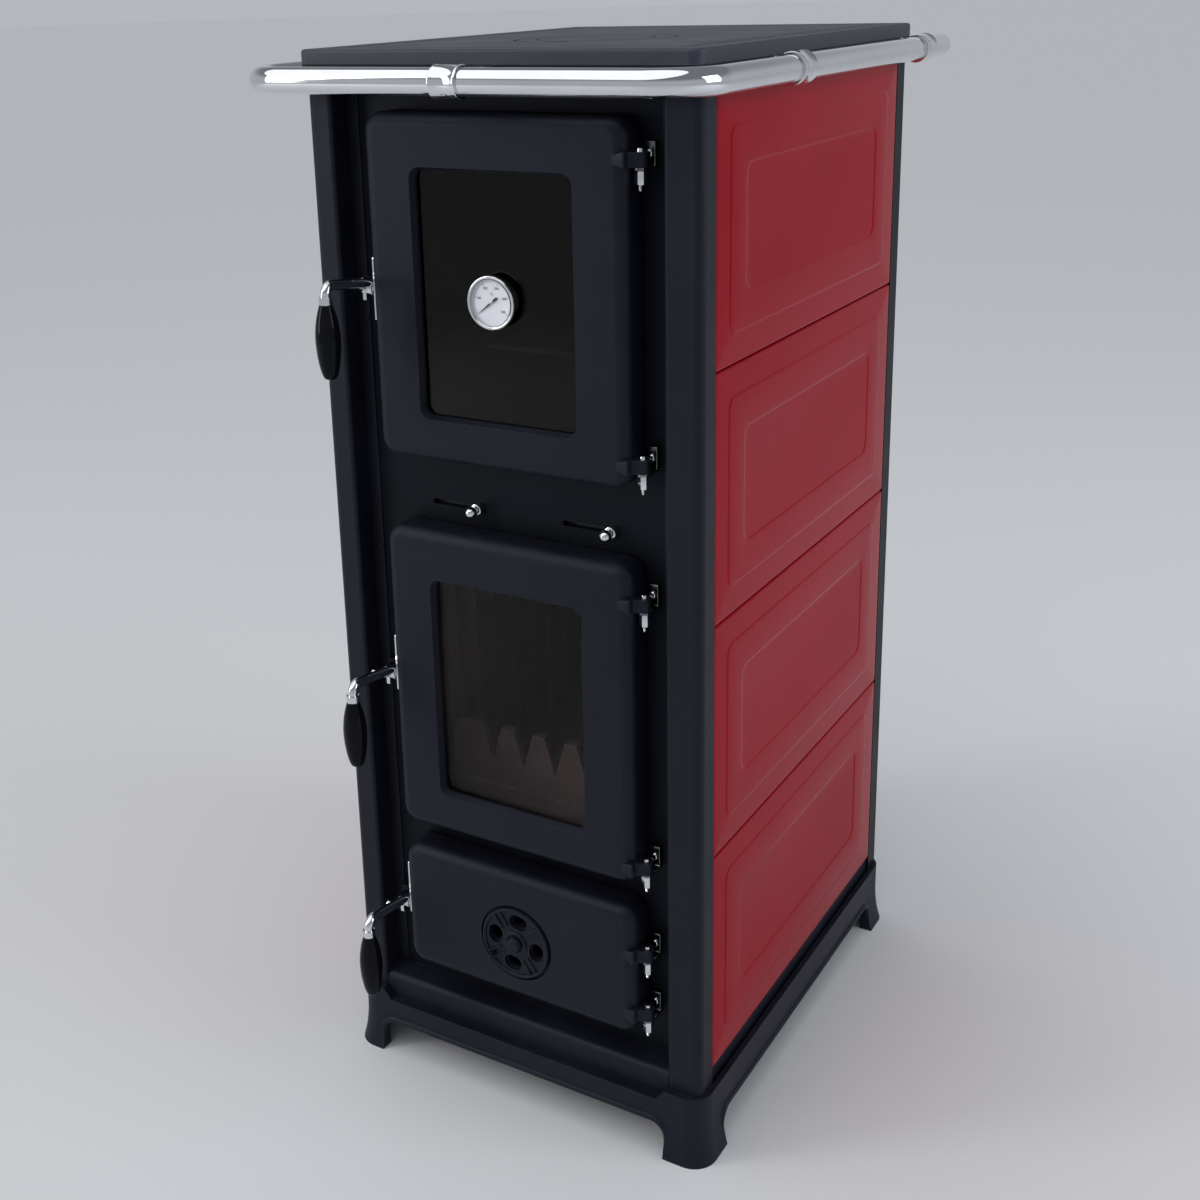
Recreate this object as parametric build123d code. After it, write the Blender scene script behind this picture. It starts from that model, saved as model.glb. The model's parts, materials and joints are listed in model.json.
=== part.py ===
from build123d import *
import os
from math import atan, degrees

# Sizes in millimetres. X runs to the right, Y to the rear and Z up. The floor is z = 0.
# The origin is on the floor, under the middle of the whole stove.

# Body
body_width = 410.0          # over the enamelled side panels
body_depth = 497.0          # front of the corner posts to the rear trims
fit_gap = 0.3               # between pieces that are laid beside each other

# Cast base with four flared feet
base_front_step = 8.0       # how far the base stands in front of the posts
base_rear_step = 10.0
base_side_step = 6.0
base_wall = 9.0
base_corner = 22.0
deck_thick = 10.0
skirt_height = 38.0         # floor to the lower edge of the skirt
skirt_corner = 16.0         # round where the skirt meets a leg
deck_top = 64.0
collar_top = 76.0           # raised rim round the posts and along the sides
left_leg_width = 33.0       # as wide as the post above and the step beside it
right_leg_width = 42.0
leg_depth = 46.0
foot_flare = 6.0
foot_flare_top = 48.0
foot_round = 0.6            # growth of the corner's radius over the flare's
foot_shares = ((foot_flare_top, 0.0), (28.0, 0.15), (10.0, 0.6), (0.0, 1.0))   # height and share of the flare
lip_radius = 3.5            # rounded lip along the edge of each opening
lip_inset = 2.0             # lip's middle above and beside the opening
lip_depth = 1.0             # lip's middle behind the skirt's face
lip_end = 20.0              # lip's lower ends above the floor
collar_slope = 10.0         # collar runs down past the post's inner side

# Sill under the ash door
sill_depth = 24.5
sill_height = 32.0          # at the front plate
sill_fall = 6.0             # towards the front
sill_round = 8.0

# Corner posts, a cast channel that is open to the rear
left_post_width = 28.0
right_post_width = 36.5
post_depth = 26.5
post_wall = 6.0
post_round = 4.0
post_outer_round = 8.0

# Rear trims, a steel angle
rear_trim_depth = 22.0
rear_trim_flange = 26.0
trim_sheet = 2.0

# Enamelled side panels, four to a side
panel_bottom = 93.0
panel_height = 237.5
panel_count = 4
panel_sheet = 2.0
panel_rim = 8.0             # folded edge behind the face
panel_joint = 1.4           # open seam between two panels
panel_relief = 0.8          # raised band on the face
band_outer_inset = 28.0
band_inner_inset = 62.0
band_round = 12.0

# Inner walls
liner_sheet = 3.0
front_plate_thick = 8.0
back_sheet = 3.0
back_recess = 3.0           # back panel in front of the rear edge of the trims

# Top frame, cooktop and its round lid
frame_height = 24.0
frame_wall = 16.0
frame_front_step = 8.0
frame_rear_step = 15.0
frame_side_step = 2.0
frame_lip = 2.0
frame_lip_height = 5.0
frame_corner = 12.0
cooktop_thick = 13.0
cooktop_rear_step = 2.0     # cooktop past the rear of the frame
cooktop_round = 3.0
groove_width = 3.0
groove_depth = 1.0
groove_round = 8.0
groove_insets = (20.0, 31.0)
lid_setback = 200.0         # front edge of the cooktop to the lid's middle
lid_radius = 100.0
lid_thick = 8.0
lid_gap = 0.5
lid_rebate = 9.0
lid_rings = (58.0, 80.0)
lift_slot = (26.0, 11.0, 5.0)

# Hand rail and its clips
rail_radius = 12.0
rail_wall = 1.5
rail_side_reach = 23.0      # rail's centre line outside the side panels
rail_front_reach = 61.0     # rail's centre line in front of the posts
rail_bend = 45.0
rail_rear_overhang = 42.0   # rail's end behind the body, without its cap
rail_below_top = 24.0       # rail's centre line under the top of the cooktop
clip_width = 27.0
clip_sheet = 2.6
strap_thick = 4.5
clip_flange = (50.0, 15.5, 3.0)
side_clip_places = (142.0, 476.0)   # from the front of the posts

# Doors
door_half_width = 137.0
door_stand = 8.5            # door's face in front of the posts
door_wall = 9.0
door_corner = 18.0
door_round = 12.0
seal_thick = 4.0
seal_width = 9.0
seal_inset = 2.0
oven_door_bottom = 698.0
oven_door_gap = 18.0        # oven door under the top frame
fire_door_bottom = 297.0
fire_door_height = 329.0
ash_door_bottom = 127.0
ash_door_height = 143.0
mouth_overlap = 25.0        # door past its opening in the front plate, at the sides
mouth_overlap_height = 24.0
ash_overlap_height = 15.0

# Door glass
window_half_width = 85.5
window_height = 237.0
window_round = 11.0
window_bevel = 3.0
window_bevel_depth = 6.0
oven_window_bottom = 740.0
fire_window_bottom = 339.5
glass_thick = 4.0
glass_overlap = 10.0

# Hinges on the right of each door
hinge_x = 145.5
hinge_setback = 12.5        # hinge line behind the door's face
lug_low = 6.7               # lug below and above the hinge's middle
lug_high = 6.0
lug_radius = 6.5
lug_reach = 19.5            # hinge line to the root on the door's face
lug_toe = 2.0
lug_heel = (13.5, 2.5, 3.0)  # root inside the door's edge, and its radius
pin_radius = 3.0
pin_clearance = 0.05
ear_gap = 0.3
ear_thick = 2.5
bracket_width = 11.5
bracket_thick = 6.0
bracket_rise = 13.3         # hinge's middle to the top of the bracket
bracket_screw = 3.0         # hinge's middle to its screw
pin_rise = 9.5              # hinge's middle to the pin's round end
nut_size = (8.5, 12.0)      # across the flats, and its height
pin_tip = (2.0, 5.5)
oven_hinges = (990.0, 721.0)
fire_hinges = (589.0, 317.0)
ash_hinges = (220.0, 153.0)

# Latch handles on the left of each door
handle_heights = {"oven": 859.0, "fire": 459.0, "ash": 191.0}
plate_heights = {"oven": 859.0, "fire": 472.0, "ash": 210.0}
latch_plate = (2.0, 20.0, 62.0)
latch_setback = 8.5         # plate's front edge behind the door's face
stud_radius = 4.0
stud_head = (6.5, 2.0)
boss_radius = 7.5
boss_width = 10.0
boss_gap = 0.4
boss_round = 1.5
lever_width = 4.5
lever_rise = 3.0            # lever's wide end over the pivot
lever_radius = 7.0
lever_length = 28.0
arm_radius = 5.0
arm_start_rise = 4.5        # arm over the pivot, at the door and over the grip
arm_rise = 15.0
arm_bend = 9.0
handle_reach = 70.0         # pivot to the grip's centre line
ferrule = (6.4, 7.0)
ferrule_rise = 4.0          # pivot to the top of the ferrule
grip_length = 71.0
grip_neck = 6.4
grip_radius = 12.0
tongue = (4.0, 17.0, 7.0)   # thickness, reach behind the pivot and height
tongue_drop = 3.5           # tongue's top under the pivot
keeper_gap = 1.5
keeper_pin = 2.5
keeper_side = 3.0           # keeper's block beside the tongue
keeper_block = (8.0, 16.0)

# Thermometer on the oven door
dial_radius = 21.5
bezel_radius = 25.0
bezel_depth = 6.0
bezel_lap = 2.5             # bezel pushed over the case
case_depth = 9.0
stem_radius = 3.0
stem_length = 60.0
stem_clearance = 1.0
dial_thick = 1.0
dial_setback = 4.0
lens_thick = 1.2
pointer_length = 17.0
pointer_tail = 6.5
pointer_thick = 0.6
pointer_hub = 2.2
pointer_rest = 233.0        # clockwise from straight up, seen from the front

# Air rosette on the ash door
rosette_z = 192.0
rosette_radius = 40.0
rosette_thick = 6.0
rosette_recess = 4.0
rosette_gap = 2.2
rosette_holes = 4
rosette_hole = (9.0, 7.0)   # half length round the disc, half width outwards
rosette_circle = 25.0
rosette_turn = 36.0         # angle of the first spoke
hub_radius = 8.0
hub_height = 5.0
rib_height = 2.0
rib_width = 2.0
rib_spread = 4.0            # two ribs to a spoke, each this far from its middle
rosette_rim = 4.0
tab_size = (9.0, 6.0, 7.0)

# Damper slides in the band between the two glass doors
slot_z = 645.0
slot_height = 5.5
slot_play = 4.0             # slot longer than the stem's travel
slide_travel = 50.0
slide_knobs = {"oven": -46.0, "flue": 102.0}
slide_stem = 2.5
slide_bar = (80.0, 3.0, 16.0)
slide_bar_lead = 10.0       # bar past the knob
guide_rib = (3.0, 4.0)      # its thickness, and how far it stands behind the bar
knob_radius = 6.0
knob_stand = 15.0
knob_collar = (6.2, 8.0)    # radius, and its end in front of the plate

# Oven
oven_half_width = 118.0
oven_bottom = 716.0
oven_top = 1006.0
oven_depth = 330.0
oven_sheet = 3.0
runner_heights = (800.0, 870.0, 940.0)
runner = (6.0, 3.0)
rack_wire = 2.0
rack_frame_wire = 3.0
rack_bars = 11
rack_depth = 300.0

# Firebox
floor_z = 300.0
floor_thick = 12.0
grate_half = (66.0, 100.0)
grate_bars = 9
grate_bar = 7.0
lining_thick = 12.0
lining_clearance = 19.0     # lining under the damper slides
lining_grooves = 9
lining_depth = 320.0
guard_setback = 14.0        # log guard behind the front plate
guard_thick = 8.0
guard_teeth = 5
guard_pitch = 37.5
guard_tooth = 14.0
guard_notch_z = 359.0
guard_top_z = 400.0
baffle_z = 660.0
baffle_thick = 12.0
baffle_depth = 378.0

# Ash compartment
shelf_z = 140.0
shelf_thick = 4.0
pan_half_width = 102.0
pan_height = 72.0
pan_depth = 270.0
pan_sheet = 1.5

# Flue collar at the rear
flue_z = 930.0
flue_bore = 57.0
flue_wall = 3.0
flue_length = 60.0          # end of the collar behind the body
flue_flange = (76.0, 4.0)
flue_hole_margin = 2.0      # hole in the back panel over the collar's bore

# Screws
screw_radius = 2.0
screw_head = (4.0, 2.4)
screw_length = 6.0
screw_clearance = 0.05
panel_screw_head = (2.8, 1.6)
panel_screw_inset = 9.0     # from the inner side of each post
panel_screw_lift = 18.0     # above the lower edge of each panel

# Places worked out from the sizes
half = body_width / 2
front_reach = max(
    handle_reach + grip_radius - hinge_setback + door_stand, rail_front_reach + rail_radius
)
rear_reach = max(flue_length, rail_rear_overhang + rail_radius)
post_front = (front_reach - body_depth - rear_reach) / 2
body_rear = post_front + body_depth
plate_front = post_front + post_depth
plate_rear = plate_front + front_plate_thick
panel_front = plate_front + fit_gap
panel_rear = body_rear - rear_trim_depth - fit_gap
panel_top = panel_bottom + panel_count * panel_height
frame_top = panel_top + frame_height
stove_top = frame_top + cooktop_thick
left_inner = left_post_width - half
right_inner = half - right_post_width
liner_outer = half - panel_rim - fit_gap
liner_inner = liner_outer - liner_sheet
back_face = body_rear - back_recess
back_front = back_face - back_sheet
oven_door_height = panel_top - oven_door_gap - oven_door_bottom
door_front = post_front - door_stand
door_rear = plate_front - fit_gap - seal_thick
door_back_wall = door_front + door_wall
hinge_y = door_front + hinge_setback
cooktop_front = post_front - frame_front_step
frame_rear = body_rear + frame_rear_step
cooktop_rear = frame_rear + cooktop_rear_step
lid_y = cooktop_front + lid_setback
rail_z = stove_top - rail_below_top
rail_x = half + rail_side_reach
rail_front = post_front - rail_front_reach
sill_top = deck_top + sill_height
handle_x = -(door_half_width + latch_plate[0] + boss_gap + boss_width / 2)
grip_y = hinge_y - handle_reach
slide_bar_front = plate_rear + fit_gap
slot_length = slide_travel + 2 * slide_stem + slot_play
lining_height = slot_z - slide_bar[2] / 2 - lining_clearance - floor_z
ear_top = lug_low + ear_gap  # hinge's middle to the top of the bracket's ear
ear_bottom = ear_top + ear_thick
all_hinges = oven_hinges + fire_hinges + ash_hinges
bezel_front = door_back_wall - case_depth - bezel_depth + bezel_lap
dial_face = bezel_front + dial_setback
oven_z = oven_window_bottom + window_height / 2


def block(x0, x1, y0, y1, z0, z1):
    """A box between two corners."""
    return Pos((x0 + x1) / 2, (y0 + y1) / 2, (z0 + z1) / 2) * Box(x1 - x0, y1 - y0, z1 - z0)


def upright(face, y0, y1):
    """A drawing in X and Z, made solid from y0 to y1."""
    return extrude(Plane.XZ.offset(-y1) * face, amount=y1 - y0)


def sideways(face, x0, x1):
    """A drawing in Y and Z, made solid from x0 to x1."""
    return extrude(Plane.YZ.offset(x0) * face, amount=x1 - x0)


def level(face, z0, z1):
    """A drawing in X and Y, made solid from z0 to z1."""
    return extrude(Plane.XY.offset(z0) * face, amount=z1 - z0)


def rod_y(x, z, radius, y0, y1):
    return upright(Pos(x, z) * Circle(radius), y0, y1)


def rod_x(y, z, radius, x0, x1):
    return sideways(Pos(y, z) * Circle(radius), x0, x1)


def rod_z(x, y, radius, z0, z1):
    return level(Pos(x, y) * Circle(radius), z0, z1)


def total(shapes):
    """One shape of all the given ones."""
    shapes = list(shapes)
    return shapes[0] + shapes[1:] if len(shapes) > 1 else shapes[0]


def frame_outline(width, depth, corner, middle):
    return Pos(0, middle) * RectangleRounded(width, depth, corner)


# Base and body


def skirt_lip(plane, half_length):
    """Rounded lip along the edge of an opening in the skirt, down to the flared feet."""
    x, z = half_length + lip_inset, skirt_height + lip_inset
    path = plane * FilletPolyline((-x, lip_end), (-x, z), (x, z), (x, lip_end), radius=skirt_corner + lip_inset)
    start = Plane(origin=path @ 0, z_dir=path % 0)
    return sweep(start * Circle(lip_radius), path=path)


def flared_solid(width, depth, corner, middle):
    """Solid that widens to the floor like the feet do."""
    sections = []
    for z, share in foot_shares:
        outward = foot_flare * share
        size = (width + 2 * outward, depth + 2 * outward)
        sections.append(Plane.XY.offset(z) * frame_outline(*size, corner + foot_round * outward, middle))
    return loft(sections)


def base_plinth():
    front = post_front - base_front_step
    rear = body_rear + base_rear_step
    width = body_width + 2 * base_side_step
    depth = rear - front
    middle = (front + rear) / 2
    outline = frame_outline(width, depth, base_corner, middle)
    inside = frame_outline(width - 2 * base_wall, depth - 2 * base_wall, base_corner - base_wall, middle)
    shape = level(outline - inside, 0, deck_top) + level(outline, deck_top - deck_thick, deck_top)
    arch_left, arch_right = left_leg_width - width / 2, width / 2 - right_leg_width
    arch_half, arch_middle = (arch_right - arch_left) / 2, (arch_left + arch_right) / 2
    side_arch_half = depth / 2 - leg_depth
    arch = Pos(arch_middle, 0) * RectangleRounded(2 * arch_half, 2 * skirt_height, skirt_corner)
    shape -= upright(arch, front - base_wall, rear + base_wall)
    side_arch = Pos(middle, 0) * RectangleRounded(2 * side_arch_half, 2 * skirt_height, skirt_corner)
    shape -= sideways(side_arch, -width, width)
    feet = flared_solid(width, depth, base_corner, middle)
    feet -= flared_solid(width - 2 * base_wall, depth - 2 * base_wall, base_corner - base_wall, middle)
    feet -= block(arch_left, arch_right, front - base_wall, rear + base_wall, 0, foot_flare_top)
    feet -= block(-width, width, middle - side_arch_half, middle + side_arch_half, 0, foot_flare_top)
    shape += feet
    for y in (front + lip_depth, rear - lip_depth):
        shape += skirt_lip(Plane.XZ.offset(-y) * Pos(arch_middle, 0), arch_half)
    for x in (lip_depth - width / 2, width / 2 - lip_depth):
        shape += skirt_lip(Plane.YZ.offset(x) * Pos(middle, 0), side_arch_half)
    # Raised rim along the sides and rear, with a collar in front of each post.
    inner_half = half + fit_gap
    inner_front, inner_rear = post_front - fit_gap, body_rear + fit_gap
    inner = frame_outline(
        2 * inner_half, inner_rear - inner_front, post_outer_round + fit_gap, (inner_front + inner_rear) / 2
    )
    rim = level(outline - inner, deck_top, collar_top)
    rim -= block(-inner_half, inner_half, middle, inner_rear, deck_top, collar_top)
    left, right = left_inner - fit_gap, right_inner + fit_gap
    doorway = Polyline(
        (left + collar_slope, deck_top), (right - collar_slope, deck_top),
        (right, collar_top), (left, collar_top), close=True,
    )
    rim -= upright(make_face(doorway), front - 1, plate_front)
    shape += rim
    # Inner step that the side panels and the rear trims stand on.
    step_outer = half - panel_sheet - 1.0
    step_top = panel_bottom - fit_gap
    for side in (-1, 1):
        x0, x1 = sorted((side * (liner_outer + fit_gap), side * step_outer))
        shape += block(x0, x1, panel_front, panel_rear, deck_top, step_top)
    return shape


def front_sill():
    left, right = left_inner + fit_gap, right_inner - fit_gap
    front = plate_front - sill_depth
    outline = Polyline(
        (front, deck_top), (plate_front, deck_top), (plate_front, sill_top), (front, sill_top - sill_fall),
        close=True,
    )
    shape = sideways(make_face(outline), left, right)
    front_edge = shape.edges().filter_by(Axis.X).group_by(Axis.Y)[0].sort_by(Axis.Z)[-1]
    return fillet(front_edge, sill_round)


def corner_post(side):
    width = right_post_width if side > 0 else left_post_width
    outer = Rectangle(width, post_depth)
    inner = Pos(0, post_wall / 2) * Rectangle(width - 2 * post_wall, post_depth - post_wall)
    section = Pos(side * (half - width / 2), (post_front + plate_front) / 2) * (outer - inner)
    shape = level(section, deck_top, panel_top)
    corners = shape.edges().filter_by(Axis.Z).group_by(Axis.Y)[0].sort_by(Axis.X)[::side]
    shape = fillet(corners[-1], post_outer_round)
    corner = shape.edges().filter_by(Axis.Z).group_by(Axis.Y)[0].sort_by(Axis.X)[::side][0]
    return fillet(corner, post_round)


def rear_trim(side):
    sheet = trim_sheet
    shape = block(half - sheet, half, panel_rear + fit_gap, body_rear, deck_top, panel_top)
    shape += block(half - rear_trim_flange, half, body_rear - sheet, body_rear, deck_top, panel_top)
    return shape if side > 0 else mirror(shape, Plane.YZ)


def mouth(bottom, height, overlap_height):
    """Low and high corners of the opening behind a door."""
    across = door_half_width - mouth_overlap
    return -across, across, bottom + overlap_height, bottom + height - overlap_height


def mouth_cut(bottom, height, overlap_height):
    x0, x1, z0, z1 = mouth(bottom, height, overlap_height)
    opening = Pos(0, (z0 + z1) / 2) * RectangleRounded(x1 - x0, z1 - z0, 8)
    return upright(opening, plate_front - 1, plate_rear + 1)


def hinge_screws():
    """Middles of the screws through the hinge brackets."""
    return [(hinge_x, z + bracket_screw) for z in all_hinges]


def panel_screws():
    """Middles of the screws beside the posts, one to each side panel."""
    places = (left_inner + panel_screw_inset, right_inner - panel_screw_inset)
    heights = [panel_bottom + row * panel_height + panel_screw_lift for row in range(panel_count)]
    return [(x, z) for x in places for z in heights]


def front_plate():
    edge = liner_outer - fit_gap
    shape = block(-edge, edge, plate_front, plate_rear, deck_top, panel_top)
    shape -= mouth_cut(oven_door_bottom, oven_door_height, mouth_overlap_height)
    shape -= mouth_cut(fire_door_bottom, fire_door_height, mouth_overlap_height)
    shape -= mouth_cut(ash_door_bottom, ash_door_height, ash_overlap_height)
    rib_rear = plate_rear + slide_bar[1] + guide_rib[1]
    rib_half = guide_rib[0] / 2
    for knob_x in slide_knobs.values():
        slot = Pos(knob_x - slide_travel / 2, slot_z) * SlotOverall(slot_length, slot_height)
        shape -= upright(slot, plate_front - 1, plate_rear + 1)
        end = knob_x + slide_bar_lead
        start = end - slide_bar[0] - slide_travel
        for step in (-1, 1):
            z = slot_z + step * (slide_bar[2] / 2 + fit_gap + rib_half)
            shape += block(start, end, plate_rear, rib_rear, z - rib_half, z + rib_half)
    for x, z in hinge_screws() + panel_screws():
        shape -= rod_y(x, z, screw_radius + screw_clearance, plate_front - 1, plate_rear + 1)
    return shape


def side_liners():
    walls = []
    for side in (-1, 1):
        x0, x1 = sorted((side * liner_inner, side * liner_outer))
        walls.append(block(x0, x1, plate_rear, back_front, deck_top, panel_top))
    return Compound(children=walls)


def back_screw_places():
    across = half - rear_trim_flange / 2 - 4.0
    rows = 4
    height = panel_top - deck_top - 60.0
    heights = [deck_top + 30.0 + row * height / (rows - 1) for row in range(rows)]
    return [(side * across, z) for side in (-1, 1) for z in heights]


def back_panel():
    edge = half - trim_sheet - fit_gap
    shape = block(-edge, edge, back_front, back_face, deck_top, panel_top)
    return shape - rod_y(0, flue_z, flue_bore + flue_hole_margin, back_front - 1, back_face + 1)


def side_panel(side, row):
    z0 = panel_bottom + row * panel_height + panel_joint / 2
    z1 = z0 + panel_height - panel_joint
    outer = block(half - panel_rim, half, panel_front, panel_rear, z0, z1)
    inner = block(
        half - panel_rim - 1,
        half - panel_sheet,
        panel_front + panel_sheet,
        panel_rear - panel_sheet,
        z0 + panel_sheet,
        z1 - panel_sheet,
    )
    shape = outer - inner
    middle = Pos((panel_front + panel_rear) / 2, (z0 + z1) / 2)
    length = panel_rear - panel_front
    height = z1 - z0
    ring = RectangleRounded(length - 2 * band_outer_inset, height - 2 * band_outer_inset, band_round)
    ring -= RectangleRounded(length - 2 * band_inner_inset, height - 2 * band_inner_inset, band_round)
    shape += sideways(middle * ring, half, half + panel_relief)
    return shape if side > 0 else mirror(shape, Plane.YZ)


# Top frame, cooktop and lid


def top_frame():
    middle = (cooktop_front + frame_rear) / 2
    depth = frame_rear - cooktop_front
    width = body_width + 2 * frame_side_step
    outline = frame_outline(width, depth, frame_corner, middle)
    lip = frame_outline(width + 2 * frame_lip, depth + 2 * frame_lip, frame_corner + frame_lip, middle)
    inside = frame_outline(width - 2 * frame_wall, depth - 2 * frame_wall, 4, middle)
    lower = panel_top + fit_gap
    shape = level(outline, lower, frame_top) + level(lip, lower, lower + frame_lip_height)
    return shape - level(inside, lower, frame_top)


def cooktop_plate():
    depth = cooktop_rear - cooktop_front
    width = body_width + 2 * frame_side_step
    middle = (cooktop_front + cooktop_rear) / 2
    shape = level(frame_outline(width, depth, frame_corner, middle), frame_top, stove_top)
    shape = fillet(shape.faces().sort_by(Axis.Z)[-1].edges(), cooktop_round)
    for inset in groove_insets:
        long, wide = depth - 2 * inset, width - 2 * inset
        outer = frame_outline(wide, long, groove_round, middle)
        wide -= 2 * groove_width
        long -= 2 * groove_width
        inner = frame_outline(wide, long, groove_round - groove_width, middle)
        shape -= level(outer - inner, stove_top - groove_depth, stove_top)
    shape -= rod_z(0, lid_y, lid_radius - lid_rebate, frame_top, stove_top)
    return shape - rod_z(0, lid_y, lid_radius + lid_gap, stove_top - lid_thick, stove_top)


def cooktop_lid():
    shape = rod_z(0, lid_y, lid_radius, stove_top - lid_thick, stove_top)
    shape += rod_z(0, lid_y, lid_radius - lid_rebate - lid_gap, frame_top, stove_top - lid_thick)
    for radius in lid_rings:
        ring = Circle(radius) - Circle(radius - groove_width)
        shape -= level(Pos(0, lid_y) * ring, stove_top - groove_depth, stove_top)
    length, width, depth = lift_slot
    slot = Pos(0, lid_y - lid_radius + 2.4 * width) * SlotOverall(length, width)
    return shape - level(slot, stove_top - depth, stove_top)


# Hand rail


def rail_path():
    rear = body_rear + rail_rear_overhang
    corners = [(-rail_x, rear), (-rail_x, rail_front), (rail_x, rail_front), (rail_x, rear)]
    return Plane.XY.offset(rail_z) * FilletPolyline(*corners, radius=rail_bend)


def hand_rail():
    path = rail_path()
    start = Plane(origin=path @ 0, z_dir=path % 0)
    tube = sweep(start * Circle(rail_radius), path=path)
    tube -= sweep(start * Circle(rail_radius - rail_wall), path=path)
    rear = body_rear + rail_rear_overhang
    for side in (-1, 1):
        dome = Pos(side * rail_x, rear, rail_z) * Sphere(rail_radius)
        dome -= Pos(side * rail_x, rear, rail_z) * Sphere(rail_radius - rail_wall)
        dome &= block(-2 * rail_x, 2 * rail_x, rear, rear + 2 * rail_radius, 0, 2 * stove_top)
        tube += dome
    return tube


def rail_clips():
    outer = rail_radius + clip_sheet
    pieces = []
    strap_z = rail_z + rail_radius / 2
    long, high, thick = clip_flange
    frame_side = half + frame_side_step
    # Front clip, whose collar goes round the tube along X.
    band = Pos(rail_front, rail_z) * (Circle(outer) - Circle(rail_radius))
    ring = sideways(band, -clip_width / 2, clip_width / 2)
    strap = block(-clip_width / 2, clip_width / 2, rail_front, cooktop_front, strap_z, strap_z + strap_thick)
    strap -= rod_x(rail_front, rail_z, rail_radius, -clip_width, clip_width)
    flange_low = panel_top + fit_gap + frame_lip_height
    flange = block(-long / 2, long / 2, cooktop_front - thick, cooktop_front, flange_low, flange_low + high)
    pieces.append(ring + strap + flange)
    for place in side_clip_places:
        y = post_front + place
        y0, y1 = y - clip_width / 2, y + clip_width / 2
        band = Pos(rail_x, rail_z) * (Circle(outer) - Circle(rail_radius))
        clip = upright(band, y0, y1)
        link = block(frame_side, rail_x, y0, y1, strap_z, strap_z + strap_thick)
        link -= rod_y(rail_x, rail_z, rail_radius, y0 - 1, y1 + 1)
        clip += link
        clip += block(
            frame_side, frame_side + thick, y - long / 2, y + long / 2, flange_low, flange_low + high
        )
        pieces.append(clip)
        pieces.append(mirror(clip, Plane.YZ))
    return Compound(children=pieces)


# Doors


def door_shell(bottom, height):
    outline = Pos(0, bottom + height / 2) * RectangleRounded(2 * door_half_width, height, door_corner)
    shape = upright(outline, door_front, door_rear)
    shape = fillet(shape.faces().sort_by(Axis.Y)[0].edges(), door_round)
    hollow = Pos(0, bottom + height / 2) * RectangleRounded(
        2 * (door_half_width - door_wall), height - 2 * door_wall, door_corner - door_wall
    )
    return shape - upright(hollow, door_back_wall, door_rear)


def hinge_lugs(shape, heights):
    """Adds the cast hinge lugs to a door, with their bores."""
    heel_x, heel_y, heel_radius = lug_heel
    toe = Pos(hinge_x - lug_reach, door_front + lug_toe) * Circle(lug_toe)
    heel = Pos(hinge_x - heel_x, hinge_y + heel_y) * Circle(heel_radius)
    end = Pos(hinge_x, hinge_y) * Circle(lug_radius)
    outline = make_hull([*toe.edges(), *heel.edges(), *end.edges()])
    for z in heights:
        shape += level(outline, z - lug_low, z + lug_high)
        shape -= rod_z(hinge_x, hinge_y, pin_radius + pin_clearance, z - lug_low - 1, z + lug_high + 1)
    return shape


def window_cut(bottom):
    middle = Pos(0, bottom + window_height / 2)
    face = RectangleRounded(2 * window_half_width, window_height, window_round)
    slope = degrees(atan(window_bevel / window_bevel_depth))
    plane = Plane.XZ.offset(-door_front)
    bevel = extrude(plane * middle * face, amount=-window_bevel_depth, taper=slope)
    clear = RectangleRounded(
        2 * (window_half_width - window_bevel),
        window_height - 2 * window_bevel,
        window_round - window_bevel,
    )
    return bevel + upright(middle * clear, door_front - 1, door_back_wall + 1)


def glass_door(bottom, height, window_bottom, hinges):
    shape = door_shell(bottom, height) - window_cut(window_bottom)
    return hinge_lugs(shape, hinges)


def door_glass(window_bottom):
    middle = Pos(0, window_bottom + window_height / 2)
    pane = RectangleRounded(2 * (window_half_width + glass_overlap), window_height + 2 * glass_overlap, 6)
    return upright(middle * pane, door_back_wall, door_back_wall + glass_thick)


def oven_door_glass():
    pane = door_glass(oven_window_bottom)
    return pane - rod_y(0, oven_z, stem_radius + stem_clearance, door_front, plate_front)


def door_seal(bottom, height):
    middle = Pos(0, bottom + height / 2)
    outer_width = 2 * (door_half_width - seal_inset)
    outer_height = height - 2 * seal_inset
    outer = RectangleRounded(outer_width, outer_height, door_corner - seal_inset)
    inner = RectangleRounded(
        outer_width - 2 * seal_width, outer_height - 2 * seal_width, door_corner - seal_inset - seal_width
    )
    return upright(middle * (outer - inner), door_rear, door_rear + seal_thick)


def ash_door():
    shape = hinge_lugs(door_shell(ash_door_bottom, ash_door_height), ash_hinges)
    recess_floor = door_front + rosette_recess
    shape -= rod_y(0, rosette_z, rosette_radius + rosette_gap, door_front - 1, recess_floor)
    for angle in rosette_hole_angles():
        shape -= upright(rosette_opening(angle), door_front - 1, door_back_wall + 1)
    tip = door_front + rosette_recess - rosette_thick - 2 * fit_gap
    shape += rod_y(0, rosette_z, stud_radius, tip - hub_height, recess_floor + 1)
    cap = rod_y(0, rosette_z, hub_radius, tip - hub_height, tip)
    cap = fillet(cap.edges().sort_by(Axis.Y)[0], hub_height - 1)
    return shape + cap


def rosette_hole_angles():
    step = 360 / rosette_holes
    return [rosette_turn + step / 2 + step * i for i in range(rosette_holes)]


def rosette_opening(angle):
    length, width = rosette_hole
    hole = Rot(0, 0, 90) * SlotOverall(2 * length, 2 * width)
    return Pos(0, rosette_z) * (Rot(0, 0, angle) * (Pos(rosette_circle, 0) * hole))


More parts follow.
